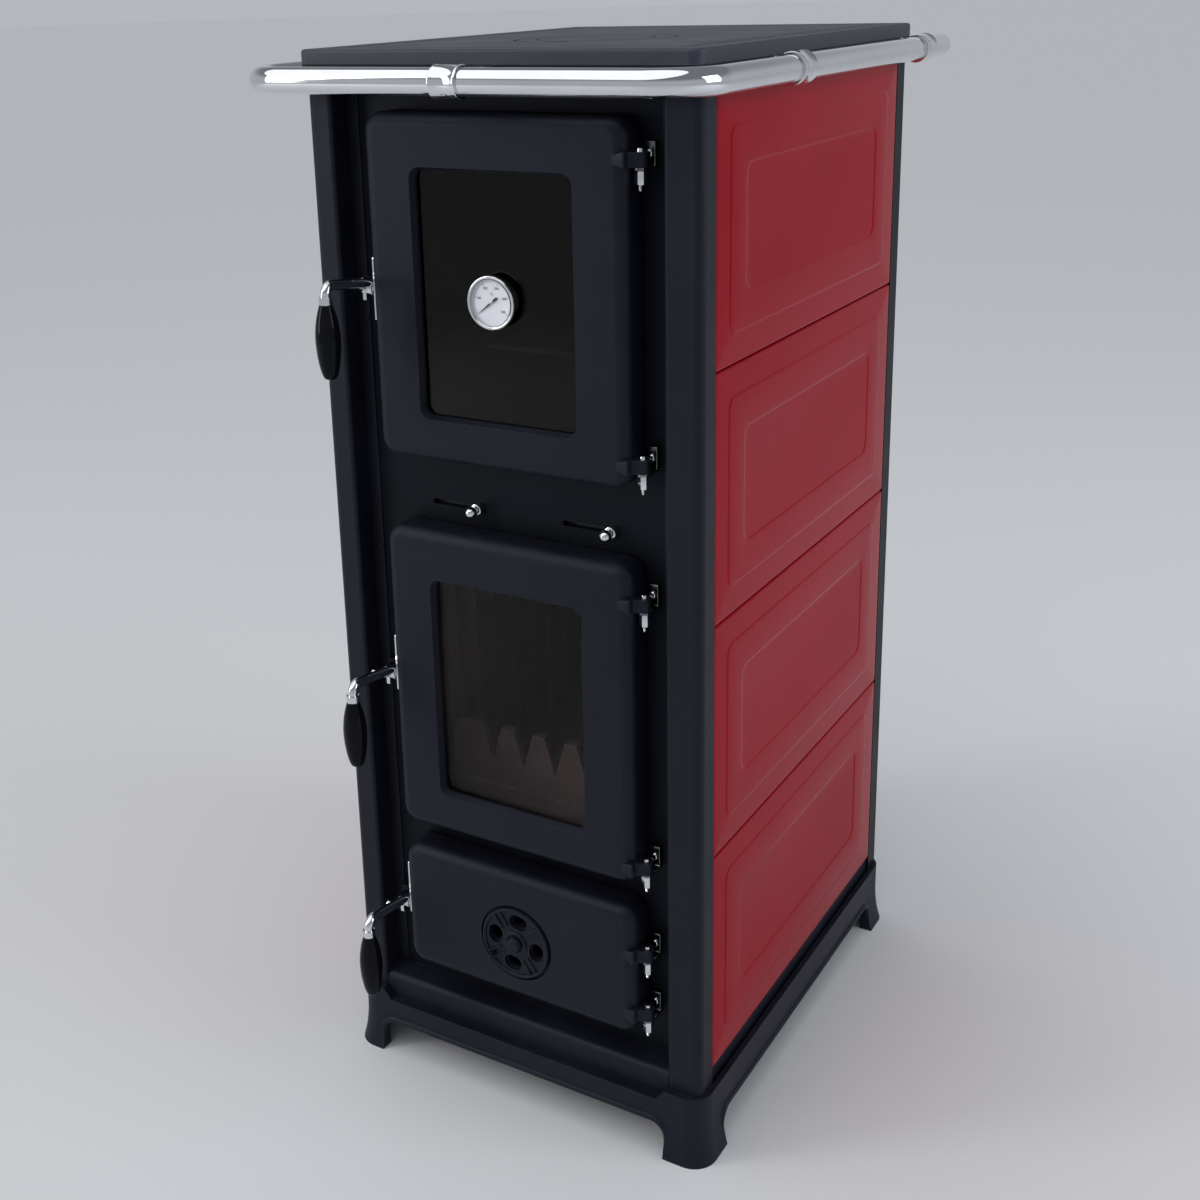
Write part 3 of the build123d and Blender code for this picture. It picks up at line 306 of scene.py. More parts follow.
def glass_surface(name, tint, bend=1.5):
    """Glass that lets the lamps' light through to what is behind it."""
    material, tree, shader = new_material(name)
    set_inputs(shader, Base_Color=(*tint, 1.0), Roughness=0.0, Transmission_Weight=1.0, IOR=bend)
    clear = set_inputs(node(tree, "ShaderNodeBsdfTransparent"), Color=(*tint, 1.0))
    path = node(tree, "ShaderNodeLightPath")
    mix = node(tree, "ShaderNodeMixShader")
    tree.links.new(path.outputs["Is Shadow Ray"], mix.inputs["Fac"])
    tree.links.new(shader.outputs[0], mix.inputs[1])
    tree.links.new(clear.outputs[0], mix.inputs[2])
    tree.links.new(mix.outputs[0], tree.nodes["Material Output"].inputs["Surface"])
    return material


# Finishes
BLUE_SHEEN = (0.78, 0.84, 1.0, 1.0)
ENAMEL_SHEEN = (1.0, 0.6, 0.8, 1.0)
STRAND_SCALE = 95.0
ROPE_DARK, ROPE_LIGHT = (0.045, 0.043, 0.040), (0.26, 0.25, 0.23)


def cast_black():
    """Satin black paint on a fine-grained casting, a little lighter along its edges, partly as wear and
    partly as a painted highlight.
    """
    return surface("cast stove black", (0.0060, 0.0066, 0.0120), (0.0094, 0.0102, 0.0175), (0.42, 0.54),
                   grain=520.0, bump=(0.35, 0.0005), edge_wear_and_highlight_colour=(0.042, 0.047, 0.060), edge_wear_and_highlight_amount=0.65,
                   Specular_IOR_Level=0.22, Specular_Tint=BLUE_SHEEN)


def sheet_black():
    """The same paint, thinner and smoother, on sheet steel."""
    # Its edges are a little lighter, partly as wear and partly as a painted highlight.
    return surface("sheet stove black", (0.0034, 0.0038, 0.0062), (0.0056, 0.0062, 0.0095), (0.38, 0.48),
                   grain=900.0, bump=(0.15, 0.0003), edge_wear_and_highlight_colour=(0.020, 0.022, 0.028), edge_wear_and_highlight_amount=0.4,
                   Specular_IOR_Level=0.14, Specular_Tint=BLUE_SHEEN)


def cooktop_iron():
    """Ground iron, greyer than the painted parts."""
    return surface("ground cooktop iron", (0.023, 0.0255, 0.034), (0.038, 0.041, 0.052), (0.42, 0.55),
                   grain=700.0, bump=(0.3, 0.0004), edge_wear_and_highlight_colour=(0.10, 0.105, 0.12), edge_wear_and_highlight_amount=0.6,
                   Specular_Tint=BLUE_SHEEN)


def red_enamel():
    """Glossy red enamel with a slight wave."""
    return surface("red enamel", (0.262, 0.0024, 0.0085), (0.295, 0.0034, 0.0110), (0.09, 0.14),
                   grain=60.0, mottle=5.0, bump=(0.05, 0.0012),
                   Specular_IOR_Level=0.07, Specular_Tint=ENAMEL_SHEEN)


def polished_chrome():
    return surface("polished chrome", (0.68, 0.69, 0.71), (0.74, 0.75, 0.77), (0.03, 0.07),
                   grain=120.0, bump=(0.02, 0.0003), Metallic=1.0)


def dark_zinc():
    """Dark plated steel, with a painted bright highlight along its edges."""
    return surface("dark zinc bracket", (0.10, 0.105, 0.12), (0.16, 0.165, 0.18), (0.16, 0.26),
                   grain=160.0, bump=(0.04, 0.0003), edge_wear_and_highlight_colour=(0.92, 0.92, 0.94), edge_wear_and_highlight_amount=1.0, Metallic=1.0)


def oven_steel():
    return surface("oven sheet steel", (0.20, 0.20, 0.205), (0.27, 0.27, 0.275), (0.34, 0.48),
                   grain=300.0, bump=(0.12, 0.0004), Metallic=1.0)


def lining_iron():
    """Rough iron under a layer of soot, with a reddish cast that is painted firelight, and edges lightened
    partly as wear and partly as a painted highlight.
    """
    return surface("sooted lining iron", (0.028, 0.021, 0.023), (0.060, 0.046, 0.050), (0.75, 0.92),
                   grain=260.0, mottle=22.0, bump=(0.6, 0.001), edge_wear_and_highlight_colour=(0.15, 0.12, 0.125), edge_wear_and_highlight_amount=0.7)


def grip_black():
    return surface("glossy black grip", (0.003, 0.003, 0.0035), (0.005, 0.005, 0.0055), (0.10, 0.16),
                   grain=90.0, bump=(0.02, 0.0004), Specular_IOR_Level=0.13, Specular_Tint=BLUE_SHEEN)


def dial_white():
    return surface("dial white", (0.80, 0.83, 0.90), (0.85, 0.88, 0.95), (0.45, 0.55),
                   grain=900.0, bump=(0.03, 0.0001))


def print_black():
    return surface("dial print black", (0.010, 0.010, 0.010), (0.016, 0.016, 0.016), (0.5, 0.6),
                   grain=900.0, bump=(0.03, 0.0001))


def braided_rope():
    """Braided glass-fibre rope: two sets of slanting strands that cross."""
    material, tree, shader = new_material("braided rope")
    set_inputs(shader, Roughness=0.9, Specular_IOR_Level=0.15)
    place = node(tree, "ShaderNodeTexCoord")
    strands = []
    for slant in (45.0, -45.0):
        turn = set_inputs(node(tree, "ShaderNodeMapping"), Rotation=(0.0, math.radians(slant), 0.0))
        wave = set_inputs(node(tree, "ShaderNodeTexWave", wave_profile="SIN"), Scale=STRAND_SCALE,
                          Distortion=1.2, Detail=2.0, Detail_Scale=2.0)
        tree.links.new(place.outputs["Object"], turn.inputs["Vector"])
        tree.links.new(turn.outputs["Vector"], wave.inputs["Vector"])
        strands.append(wave.outputs["Fac"])
    over = node(tree, "ShaderNodeMath", operation="MAXIMUM")
    tree.links.new(strands[0], over.inputs[0])
    tree.links.new(strands[1], over.inputs[1])
    colour = mix_colour(tree, over.outputs[0], ROPE_DARK, ROPE_LIGHT)
    tree.links.new(colour, shader.inputs["Base Color"])
    tree.links.new(bumped(tree, over.outputs[0], 0.9, 0.0012), shader.inputs["Normal"])
    return material


CHROME = polished_chrome()
DARK_ZINC = dark_zinc()
COOKTOP_IRON = cooktop_iron()
# The fire glass's warm reddish tint partly stands in for firelight inside.
FIRE_GLASS = glass_surface("fire glass", (0.80, 0.735, 0.71), bend=1.2)
SLOT_FINISH = {
    "cast_black": cast_black(),
    "sheet_black": sheet_black(),
    "cooktop_iron": COOKTOP_IRON,
    "red_enamel": red_enamel(),
    "chrome": CHROME,
    "rack_chrome": CHROME,
    "oven_steel": oven_steel(),
    "lining_iron": lining_iron(),
    "glass": glass_surface("dark oven glass", (0.12, 0.11, 0.10), bend=1.28),
    "clear_glass": glass_surface("thermometer lens", (0.97, 0.97, 0.97)),
    "dial": dial_white(),
    "pointer": print_black(),
    "grip_black": grip_black(),
    "rope": braided_rope(),
}


def dress_nodes():
    """Gives every CAD node the finish of its material slot."""
    slot_of = {part["node"]: part["material_slot"] for part in frame["record"]["subparts"]}
    for name, thing in nodes.items():
        finish = FIRE_GLASS if name == "fire_door_glass" else SLOT_FINISH[slot_of[name]]
        thing.data.materials.clear()
        thing.data.materials.append(finish)
        for face in thing.data.polygons:
            face.material_index = 0
            face.use_smooth = True


# Making pieces
X_AXIS, Y_AXIS, Z_AXIS = Vector((1, 0, 0)), Vector((0, 1, 0)), Vector((0, 0, 1))
FRONT_TURN = Matrix(((1, 0, 0), (0, 0, -1), (0, 1, 0))).to_4x4()     # stands a drawing up, facing the front
MERGE = 0.01 * MM


def side_turn(side):
    """Stands a drawing up, facing the left (-1) or the right (1)."""
    return Matrix(((0, 0, side), (side, 0, 0), (0, 1, 0))).to_4x4()


def lowest(name):
    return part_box(name)[0]


def highest(name):
    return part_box(name)[1]


def middle_of(name):
    low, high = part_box(name)
    return (low + high) / 2


def in_metres(points):
    """A profile that was written in millimetres."""
    return [(first * MM, second * MM) for first, second in points]


def keep(found, kind):
    """The items of one kind, from what an operator returns."""
    return [item for item in found if isinstance(item, kind)]


def edges_of(verts):
    return list({edge for vert in verts for edge in vert.link_edges})


def finish_piece(name, bm, body, slot, replaced=(), sharp=35.0, material=None):
    """Closes the seams of a bmesh and makes it a piece that rides on a body."""
    bmesh.ops.remove_doubles(bm, verts=bm.verts, dist=MERGE)
    bmesh.ops.recalc_face_normals(bm, faces=bm.faces)
    mesh = bpy.data.meshes.new(name)
    bm.to_mesh(mesh)
    bm.free()
    for face in mesh.polygons:
        face.use_smooth = True
    mesh.set_sharp_from_angle(angle=math.radians(sharp))
    mesh.materials.append(SLOT_FINISH[slot] if material is None else material)
    thing = bpy.data.objects.new(name, mesh)
    bpy.context.scene.collection.objects.link(thing)
    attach(thing, body)
    if replaced:
        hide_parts(*replaced)
    return thing


def outline(bm, turn, width, height, corner, depth, steps):
    """A closed loop of edges: a rectangle with round corners, at some depth along the turned Z."""
    half_width, half_height = width / 2, height / 2
    places = ((-half_width, -half_height), (half_width, -half_height), (half_width, half_height),
              (-half_width, half_height))
    face = bm.faces.new([bm.verts.new(turn @ Vector((u, v, depth))) for u, v in places])
    rounded = bmesh.ops.bevel(bm, geom=list(face.verts), affect="VERTICES", offset=corner, segments=steps,
                              profile=0.5, material=-1)
    rounded_face = rounded["verts"][0].link_faces[0]
    edges = list(rounded_face.edges)
    bmesh.ops.delete(bm, geom=[rounded_face], context="FACES_ONLY")
    return edges


def circle(bm, sides, radius, place):
    """A closed loop of edges: a circle across the place's Z."""
    return edges_of(bmesh.ops.create_circle(bm, segments=sides, radius=radius, matrix=place)["verts"])


def join_loops(bm, loops):
    """Makes a wall from each loop to the next."""
    for first, second in zip(loops, loops[1:]):
        bmesh.ops.bridge_loops(bm, edges=first + second)


def join_and_cap(bm, loops):
    """Makes a solid from a row of loops, with both of its ends closed."""
    join_loops(bm, loops)
    bmesh.ops.holes_fill(bm, edges=loops[0])
    bmesh.ops.holes_fill(bm, edges=loops[-1])


def fill_flat(bm, loops):
    """Fills what lies between an outer loop and the loops inside it."""
    bmesh.ops.triangle_fill(bm, use_beauty=True, use_dissolve=False,
                            edges=[edge for loop in loops for edge in loop])


def turned(bm, profile, at, axis, steps=48, closed=False):
    """Spins a profile of (radius, distance along the axis) once round the axis."""
    aside = X_AXIS if axis == Z_AXIS else Z_AXIS
    verts = [bm.verts.new(at + aside * radius + axis * along) for radius, along in profile]
    ends = verts[1:] + verts[:1] if closed else verts[1:]
    edges = [bm.edges.new(pair) for pair in zip(verts, ends)]
    bmesh.ops.spin(bm, geom=verts + edges, cent=at, axis=axis, dvec=(0, 0, 0), angle=math.tau, steps=steps,
                   use_merge=True)


def straight(bm, ring, shift):
    """Carries a ring of edges on by a straight run, and returns the new ring."""
    made = bmesh.ops.extrude_edge_only(bm, edges=ring)["geom"]
    ends = keep(made, bmesh.types.BMVert)
    bmesh.ops.translate(bm, verts=ends, vec=shift)
    new = set(ends)
    return [edge for edge in keep(made, bmesh.types.BMEdge) if new.issuperset(edge.verts)]


def curved(bm, ring, centre, axis, angle, steps):
    """Carries a ring of edges on round a bend, and returns the new ring."""
    verts = list({vert for edge in ring for vert in edge.verts})
    made = bmesh.ops.spin(bm, geom=verts + ring, cent=centre, axis=axis, dvec=(0, 0, 0), angle=angle,
                          steps=steps, use_merge=False)["geom_last"]
    return keep(made, bmesh.types.BMEdge)


def domed_end(bm, ring, middle, ahead, radius, steps=6):
    """Closes a ring with half a ball, or a flatter cap where ahead is short."""
    turn = math.pi / 2 / steps
    for step in range(1, steps + 1):
        old, new = turn * (step - 1), turn * step
        ring = straight(bm, ring, ahead * (math.sin(new) - math.sin(old)))
        verts = list({vert for edge in ring for vert in edge.verts})
        size = max(math.cos(new), 0.0001) / math.cos(old)
        centre = Matrix.Translation(middle + ahead * math.sin(new))
        bmesh.ops.scale(bm, verts=verts, vec=(size, size, size), space=centre.inverted())
    bmesh.ops.remove_doubles(bm, verts=verts, dist=radius * 0.01)


def slab(bm, low, high, soft, segments=3, place=Matrix.Identity(4)):
    """A bar between two corners, with all its edges rounded."""
    low, high = Vector(low), Vector(high)
    size = Matrix.Diagonal((*(high - low), 1.0))
    shape = bmesh.ops.create_cube(bm, size=1.0, matrix=place @ Matrix.Translation((low + high) / 2) @ size)
    bmesh.ops.bevel(bm, geom=edges_of(shape["verts"]), affect="EDGES", offset=soft, segments=segments,
                    profile=0.5, material=-1)


def plate(bm, turn, width, height, corner, thick, soft):
    """A flat plate with round corners, lying behind the turned Z = 0, and a softened edge in front."""
    levels = ((0.0, -thick), (0.0, -soft), (0.3 * soft, -0.3 * soft), (soft, 0.0))
    loops = [outline(bm, turn, width - 2 * inset, height - 2 * inset, corner - 0.7 * inset, depth, 5)
             for inset, depth in levels]
    join_and_cap(bm, loops)


# Screws and nuts
SCREW_SIDES = 24
SCREW_PROFILE = ((1.0, 0.0), (1.0, 0.25), (0.94, 0.55), (0.78, 0.85), (0.55, 1.0), (0.48, 1.0))
SOCKET_SIZE, SOCKET_LEVELS = 0.42, (0.97, 0.35)
NUT_PROFILE = ((0.0, 0.88), (0.12, 1.0), (0.88, 1.0), (1.0, 0.88))


def screw_head(bm, at, out, radius, rise):
    """A button head with a six-sided socket, both drawn as shares of its radius and its rise."""
    facing = Matrix.Translation(at) @ out.to_track_quat("Z", "Y").to_matrix().to_4x4()
    rings = [(SCREW_SIDES, share, up) for share, up in SCREW_PROFILE]
    rings += [(6, SOCKET_SIZE, up) for up in SOCKET_LEVELS]
    join_and_cap(bm, [circle(bm, sides, share * radius, facing @ Matrix.Translation((0, 0, up * rise)))
                      for sides, share, up in rings])


def hexagon_nut(bm, middle, flats, height):
    """An upright six-sided nut round its middle, with its edges softened."""
    size = flats / 2 / math.cos(math.pi / 6)
    loops = [circle(bm, 6, size * share, Matrix.Translation(middle + Z_AXIS * (along - 0.5) * height))
             for along, share in NUT_PROFILE]
    join_and_cap(bm, loops)


# Enamelled side panels
PANEL_RELIEF = 0.8 * MM
PANEL_RIM = 8.0 * MM
PANEL_SHEET = 1.6 * MM
PANEL_CORNER = 2.4 * MM
BAND_OUTER, BAND_INNER = 28.0 * MM, 62.0 * MM
BAND_ROUND = 12.0 * MM
PRESS_SOFT = 1.8 * MM
PRESS_CURVE = ((-1.0, 0.0), (-0.5, 0.1), (0.0, 0.5), (0.5, 0.9), (1.0, 1.0))   # across the step, and height
PANEL_FOLD = [(PANEL_RIM, -PANEL_RIM), (PANEL_SHEET, -PANEL_RIM),
              (0.3 * PANEL_SHEET, -PANEL_RIM + 0.3 * PANEL_SHEET), (0.0, -PANEL_RIM + PANEL_SHEET)]
PANEL_EDGE = in_metres(((0.0, -2.0), (0.2, -1.1), (0.7, -0.4), (1.4, -0.1), (2.2, 0.0)))


def side_panel(side, row):
    """One panel: a folded rim, a rounded edge and a raised band, as a sheet of even thickness."""
    node_name = f"side_panel_{'right' if side > 0 else 'left'}_{row}"
    low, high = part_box(node_name)
    face_x = side * (max(abs(low.x), abs(high.x)) - PANEL_RELIEF)
    turn = Matrix.Translation((face_x, (low.y + high.y) / 2, (low.z + high.z) / 2)) @ side_turn(side)
    length, height = high.y - low.y, high.z - low.z
    bm = bmesh.new()

    def nested(levels):
        """Joins one run of nested outlines, and returns its first and last loops."""
        loops = [outline(bm, turn, length - 2 * inset, height - 2 * inset, corner, depth, 6)
                 for inset, corner, depth in levels]
        join_loops(bm, loops)
        return loops[0], loops[-1]

    edge = nested([(inset, PANEL_CORNER, depth) for inset, depth in PANEL_FOLD + PANEL_EDGE])
    outer, inner = [
        nested([(inset + PRESS_SOFT * across, BAND_ROUND - PRESS_SOFT * across, start + (end - start) * up)
                for across, up in PRESS_CURVE])
        for inset, start, end in ((BAND_OUTER, 0.0, PANEL_RELIEF), (BAND_INNER, PANEL_RELIEF, 0.0))]
    fill_flat(bm, (edge[1], outer[0]))
    fill_flat(bm, (outer[1], inner[0]))
    bmesh.ops.holes_fill(bm, edges=inner[1])
    thing = finish_piece(f"enamelled_{node_name}", bm, "stove_body", "red_enamel", (node_name,))
    sheet = thing.modifiers.new("sheet", "SOLIDIFY")
    sheet.thickness = PANEL_SHEET
    sheet.offset = -1.0


def side_panels():
    """Four panels on each side."""
    for side in (-1, 1):
        for row in (1, 2, 3, 4):
            side_panel(side, row)


# Hand rail and clips
RAIL_BEND, RAIL_BEND_STEPS = 45.0 * MM, 20
RAIL_RADIUS = 12.0 * MM
RAIL_SIDES = 40
CLIP_HALF = 13.5 * MM
CLIP_PLAY = 0.05 * MM
CLIP_EDGE = in_metres(((0.6, 0.0), (0.15, 0.2), (0.0, 0.8), (0.1, 2.0), (0.5, 2.8)))   # inwards, and along
CLIP_PLACES = (142.0 * MM, 476.0 * MM)      # side clips, behind the front of the posts
STRAP_LIFT, STRAP_THICK, STRAP_LAP = 6.0 * MM, 4.5 * MM, 1.5 * MM
FLANGE_LONG, FLANGE_HIGH, FLANGE_DEEP = 50.0 * MM, 15.5 * MM, 3.0 * MM
FLANGE_LIFT, FLANGE_SINK, FLANGE_CORNER = 5.0 * MM, 2.0 * MM, 3.0 * MM
FLANGE_SCREW_PLACE, FLANGE_SCREW = 0.37, (3.2 * MM, 1.6 * MM)
CLIP_SOFT = 0.8 * MM


def hand_rail():
    """One bent tube with closed ends, run from the left end round the front to the right end."""
    low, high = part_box("hand_rail")
    across = high.x - RAIL_RADIUS
    front, rear = low.y + RAIL_RADIUS, high.y - RAIL_RADIUS
    level = (low.z + high.z) / 2
    start = Vector((-across, rear, level))
    bm = bmesh.new()
    facing = Matrix.Translation(start) @ Y_AXIS.to_track_quat("Z", "X").to_matrix().to_4x4()
    first = circle(bm, RAIL_SIDES, RAIL_RADIUS, facing)
    ring = straight(bm, first, Vector((0, front + RAIL_BEND - rear, 0)))
    for side, run in ((-1, Vector((2 * (across - RAIL_BEND), 0, 0))),
                      (1, Vector((0, rear - front - RAIL_BEND, 0)))):
        centre = Vector((side * (across - RAIL_BEND), front + RAIL_BEND, level))
        ring = curved(bm, ring, centre, Z_AXIS, math.pi / 2, RAIL_BEND_STEPS)
        ring = straight(bm, ring, run)
    domed_end(bm, ring, Vector((across, rear, level)), Y_AXIS * RAIL_RADIUS, RAIL_RADIUS)
    domed_end(bm, first, start, Y_AXIS * RAIL_RADIUS, RAIL_RADIUS)
    finish_piece("chromed_hand_rail", bm, "stove_body", "chrome", ("hand_rail",))


def clip_ring(bm, at, axis):
    """Collar round the rail, with slightly rolled edges."""
    outer = highest("rail_clips").z - at.z
    profile = [(RAIL_RADIUS + CLIP_PLAY, -CLIP_HALF)]
    profile += [(outer - inset, along - CLIP_HALF) for inset, along in CLIP_EDGE]
    profile += [(radius, -along) for radius, along in reversed(profile)]
    turned(bm, profile, at, axis, steps=56, closed=True)


def clip_flange(bm, place, out):
    """The flange of a clip and its two screws, facing along the place's Z."""
    plate(bm, place, FLANGE_LONG, FLANGE_HIGH, FLANGE_CORNER, FLANGE_DEEP, CLIP_SOFT)
    for end in (-1, 1):
        screw_head(bm, place @ Vector((end * FLANGE_SCREW_PLACE * FLANGE_LONG, 0, 0)), out, *FLANGE_SCREW)


def rail_clips():
    """One clip in front and two on each side: a collar, a strap and a screwed flange."""
    rail_low, rail_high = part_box("hand_rail")
    frame_low, frame_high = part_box("top_frame")
    level = (rail_low.z + rail_high.z) / 2
    strap_low, strap_high = level + STRAP_LIFT, level + STRAP_LIFT + STRAP_THICK
    strap_start = RAIL_RADIUS - STRAP_LAP
    side_x, front_y = frame_high.x - FLANGE_SINK, frame_low.y + FLANGE_SINK
    flange_z = frame_low.z + FLANGE_LIFT + FLANGE_HIGH / 2
    bm = bmesh.new()
    front = Vector((0, rail_low.y + RAIL_RADIUS, level))
    clip_ring(bm, front, X_AXIS)
    slab(bm, (-CLIP_HALF, front.y + strap_start, strap_low), (CLIP_HALF, front_y, strap_high), CLIP_SOFT)
    clip_flange(bm, Matrix.Translation((0, front_y - FLANGE_DEEP, flange_z)) @ FRONT_TURN, -Y_AXIS)
    for side in (-1, 1):
        for place in CLIP_PLACES:
            at = Vector((side * (rail_high.x - RAIL_RADIUS), lowest("post_front_right").y + place, level))
            clip_ring(bm, at, Y_AXIS)
            near, far = sorted((side * side_x, at.x - side * strap_start))
            slab(bm, (near, at.y - CLIP_HALF, strap_low), (far, at.y + CLIP_HALF, strap_high), CLIP_SOFT)
            spot = Matrix.Translation((side * (side_x + FLANGE_DEEP), at.y, flange_z))
            clip_flange(bm, spot @ side_turn(side), X_AXIS * side)
    finish_piece("chromed_rail_clips", bm, "stove_body", "chrome", ("rail_clips",))


# Thermometer
BEZEL_DEPTH = 6.0 * MM
DIAL_PLAY = 0.1 * MM
SCALE_START, SCALE_SWEEP = 233.0, 250.0     # degrees clockwise from straight up, seen from the front
SCALE_STEPS, SCALE_MAIN, SCALE_HALF = 50, 10, 5
SCALE_TOP = 500
PRINT_THICK, PRINT_BOLD = 0.06 * MM, 0.06 * MM
TICK_OUTER = 19.6 * MM
TICK_MAIN, TICK_HALF, TICK_SMALL = 2.6 * MM, 1.875 * MM, 1.2 * MM
TICK_WIDE, TICK_NARROW = 0.42 * MM, 0.2 * MM
NUMBER_CIRCLE, NUMBER_SIZE = 14.2 * MM, 3.3 * MM
UNIT_LIFT = 7.6 * MM
NEEDLE_HALF = in_metres(((0.15, 17.2), (0.5, 9.0), (0.95, 3.4), (0.6, 2.6), (0.6, -2.4), (1.3, -3.4),
                         (1.25, -7.0), (0.7, -7.9)))
HUB_RADIUS, HUB_TOP, HUB_RISE = 1.5 * MM, 0.8 * MM, (0.5 * MM, 0.4 * MM)


def dial_point(angle, radius):
    """A place on the dial's face, by degrees clockwise from straight up."""
    turn = math.radians(angle)
    return Vector((math.sin(turn) * radius, 0.0, math.cos(turn) * radius))


def thermometer_case():
    """Cup with a rolled bezel in front of the glass, and a stem through it."""
    low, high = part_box("thermometer_case")
    dial_low, dial_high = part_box("thermometer_dial")
    centre = Vector((0, low.y, (low.z + high.z) / 2))
    outer = (high.z - low.z) / 2
    inner = (dial_high.z - dial_low.z) / 2 + DIAL_PLAY
    dial_rear = dial_high.y - low.y
    seat = lowest("oven_door_glass").y - low.y
    rim = ((0.0, dial_rear), (inner, dial_rear), (inner, 1.9 * MM), (inner + 0.15 * MM, 1.2 * MM),
           (inner + 0.7 * MM, 0.5 * MM), (inner + 1.5 * MM, 0.1 * MM), (inner + 2.1 * MM, 0.0),
           (inner + 2.8 * MM, 0.2 * MM), (outer - 0.2 * MM, 0.8 * MM), (outer, 1.7 * MM),
           (outer, BEZEL_DEPTH - 0.7 * MM), (outer - 0.25 * MM, BEZEL_DEPTH - 0.2 * MM),
           (outer - 0.9 * MM, BEZEL_DEPTH), (inner + 0.3 * MM, BEZEL_DEPTH),
           (inner, BEZEL_DEPTH + 0.3 * MM), (inner, seat), (0.0, seat))
    stem_end = high.y - low.y
    stem = ((0.0, seat - 0.5 * MM), (3.0 * MM, seat - 0.5 * MM), (3.0 * MM, stem_end - 2.0 * MM),
            (2.4 * MM, stem_end - 0.7 * MM), (1.2 * MM, stem_end - 0.1 * MM), (0.0, stem_end))
    bm = bmesh.new()
    turned(bm, rim, centre, Y_AXIS, steps=72)
    turned(bm, stem, centre, Y_AXIS, steps=24)
    finish_piece("thermometer_bezel_and_stem", bm, "oven_door_leaf", "chrome", ("thermometer_case",))


def tick(bm, at, angle, start, length, width):
    """One printed stroke of the scale, from the outside inwards."""
    place = Matrix.Translation(at) @ Matrix.Rotation(math.radians(angle), 4, "Y")
    size = Matrix.Diagonal((width, PRINT_THICK, length, 1.0))
    bmesh.ops.create_cube(bm, size=1.0, matrix=place @ Matrix.Translation((0, 0, start - length / 2)) @ size)


def printed_text(words, size, at):
    """Mesh of a word printed upright on the dial, centred on a point."""
    curve = bpy.data.curves.new("words", "FONT")
    curve.body = words
    curve.size = size
    curve.align_x, curve.align_y = "CENTER", "CENTER"
    curve.extrude = PRINT_THICK / 2
    curve.offset = PRINT_BOLD
    curve.resolution_u = 6
    holder = bpy.data.objects.new("words", curve)
    mesh = bpy.data.meshes.new_from_object(holder)
    mesh.transform(Matrix.Translation(at) @ Matrix.Rotation(math.pi / 2, 4, "X"))
    bpy.data.objects.remove(holder)
    bpy.data.curves.remove(curve)
    return mesh


def thermometer_scale():
    """Printed strokes, numbers from 100 to 500 and the unit."""
    low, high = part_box("thermometer_dial")
    centre = Vector((0, low.y - PRINT_THICK / 2, (low.z + high.z) / 2))
    bm = bmesh.new()
    for step in range(SCALE_STEPS + 1):
        angle = SCALE_START + SCALE_SWEEP * step / SCALE_STEPS
        if step % SCALE_MAIN == 0:
            tick(bm, centre, angle, TICK_OUTER, TICK_MAIN, TICK_WIDE)
        else:
            tick(bm, centre, angle, TICK_OUTER, TICK_SMALL if step % SCALE_HALF else TICK_HALF, TICK_NARROW)
    for number in range(100, SCALE_TOP + 1, 100):
        place = centre + dial_point(SCALE_START + SCALE_SWEEP * number / SCALE_TOP, NUMBER_CIRCLE)
        bm.from_mesh(printed_text(str(number), NUMBER_SIZE, place))
    bm.from_mesh(printed_text("°C", NUMBER_SIZE, centre + Z_AXIS * UNIT_LIFT))
    finish_piece("thermometer_scale", bm, "oven_door_leaf", "pointer")


def thermometer_needle():
    """Flat needle with a waisted tail, which rests at the start of the scale, and its hub."""
    low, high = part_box("thermometer_pointer")
    centre = Vector((0, (low.y + high.y) / 2, middle_of("thermometer_dial").z))
    thick = high.y - low.y
    turn = Matrix.Translation(centre) @ Matrix.Rotation(math.radians(SCALE_START), 4, "Y")
    sides = NEEDLE_HALF + [(-across, along) for across, along in reversed(NEEDLE_HALF)]
    needle = bmesh.new()
    face = needle.faces.new([needle.verts.new(turn @ Vector((across, -thick / 2, along)))
                             for across, along in sides])
    body = bmesh.ops.extrude_face_region(needle, geom=[face])
    bmesh.ops.translate(needle, verts=keep(body["geom"], bmesh.types.BMVert), vec=(0, thick, 0))
    finish_piece("thermometer_needle", needle, "thermometer_needle", "pointer", ("thermometer_pointer",))
    hub = bmesh.new()
    profile = ((0.0, -thick / 2 - HUB_RISE[0]), (HUB_TOP, -thick / 2 - HUB_RISE[1]),
               (HUB_RADIUS, -thick / 2), (HUB_RADIUS, thick / 2), (0.0, thick / 2))
    turned(hub, profile, centre, Y_AXIS, steps=24)
    finish_piece("thermometer_needle_hub", hub, "thermometer_needle", "chrome")


# Rope seals of the doors
SEAL_WIDTH = 9.0 * MM
SEAL_CORNER = 16.0 * MM
SEAL_ROUND = ((0.0, 0.5), (0.14, 0.14), (0.5, 0.0), (0.86, 0.14), (1.0, 0.5), (0.86, 0.86), (0.5, 1.0),
              (0.14, 0.86))                 # shares of the width and the thickness, once round the rope


def rope_seal(door):
    """A ring of soft rope that follows the back of a door."""
    low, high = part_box(f"{door}_door_seal")
    turn = Matrix.Translation(((low.x + high.x) / 2, high.y, (low.z + high.z) / 2)) @ FRONT_TURN
    width, height, thick = high.x - low.x, high.z - low.z, high.y - low.y
    bm = bmesh.new()
    loops = [outline(bm, turn, width - 2 * SEAL_WIDTH * inset, height - 2 * SEAL_WIDTH * inset,
                     SEAL_CORNER - SEAL_WIDTH * inset, thick * along, 6)
             for inset, along in SEAL_ROUND]
    join_loops(bm, loops + loops[:1])
    finish_piece(f"{door}_door_rope_seal", bm, f"{door}_door_leaf", "rope", (f"{door}_door_seal",),
                 sharp=80.0)


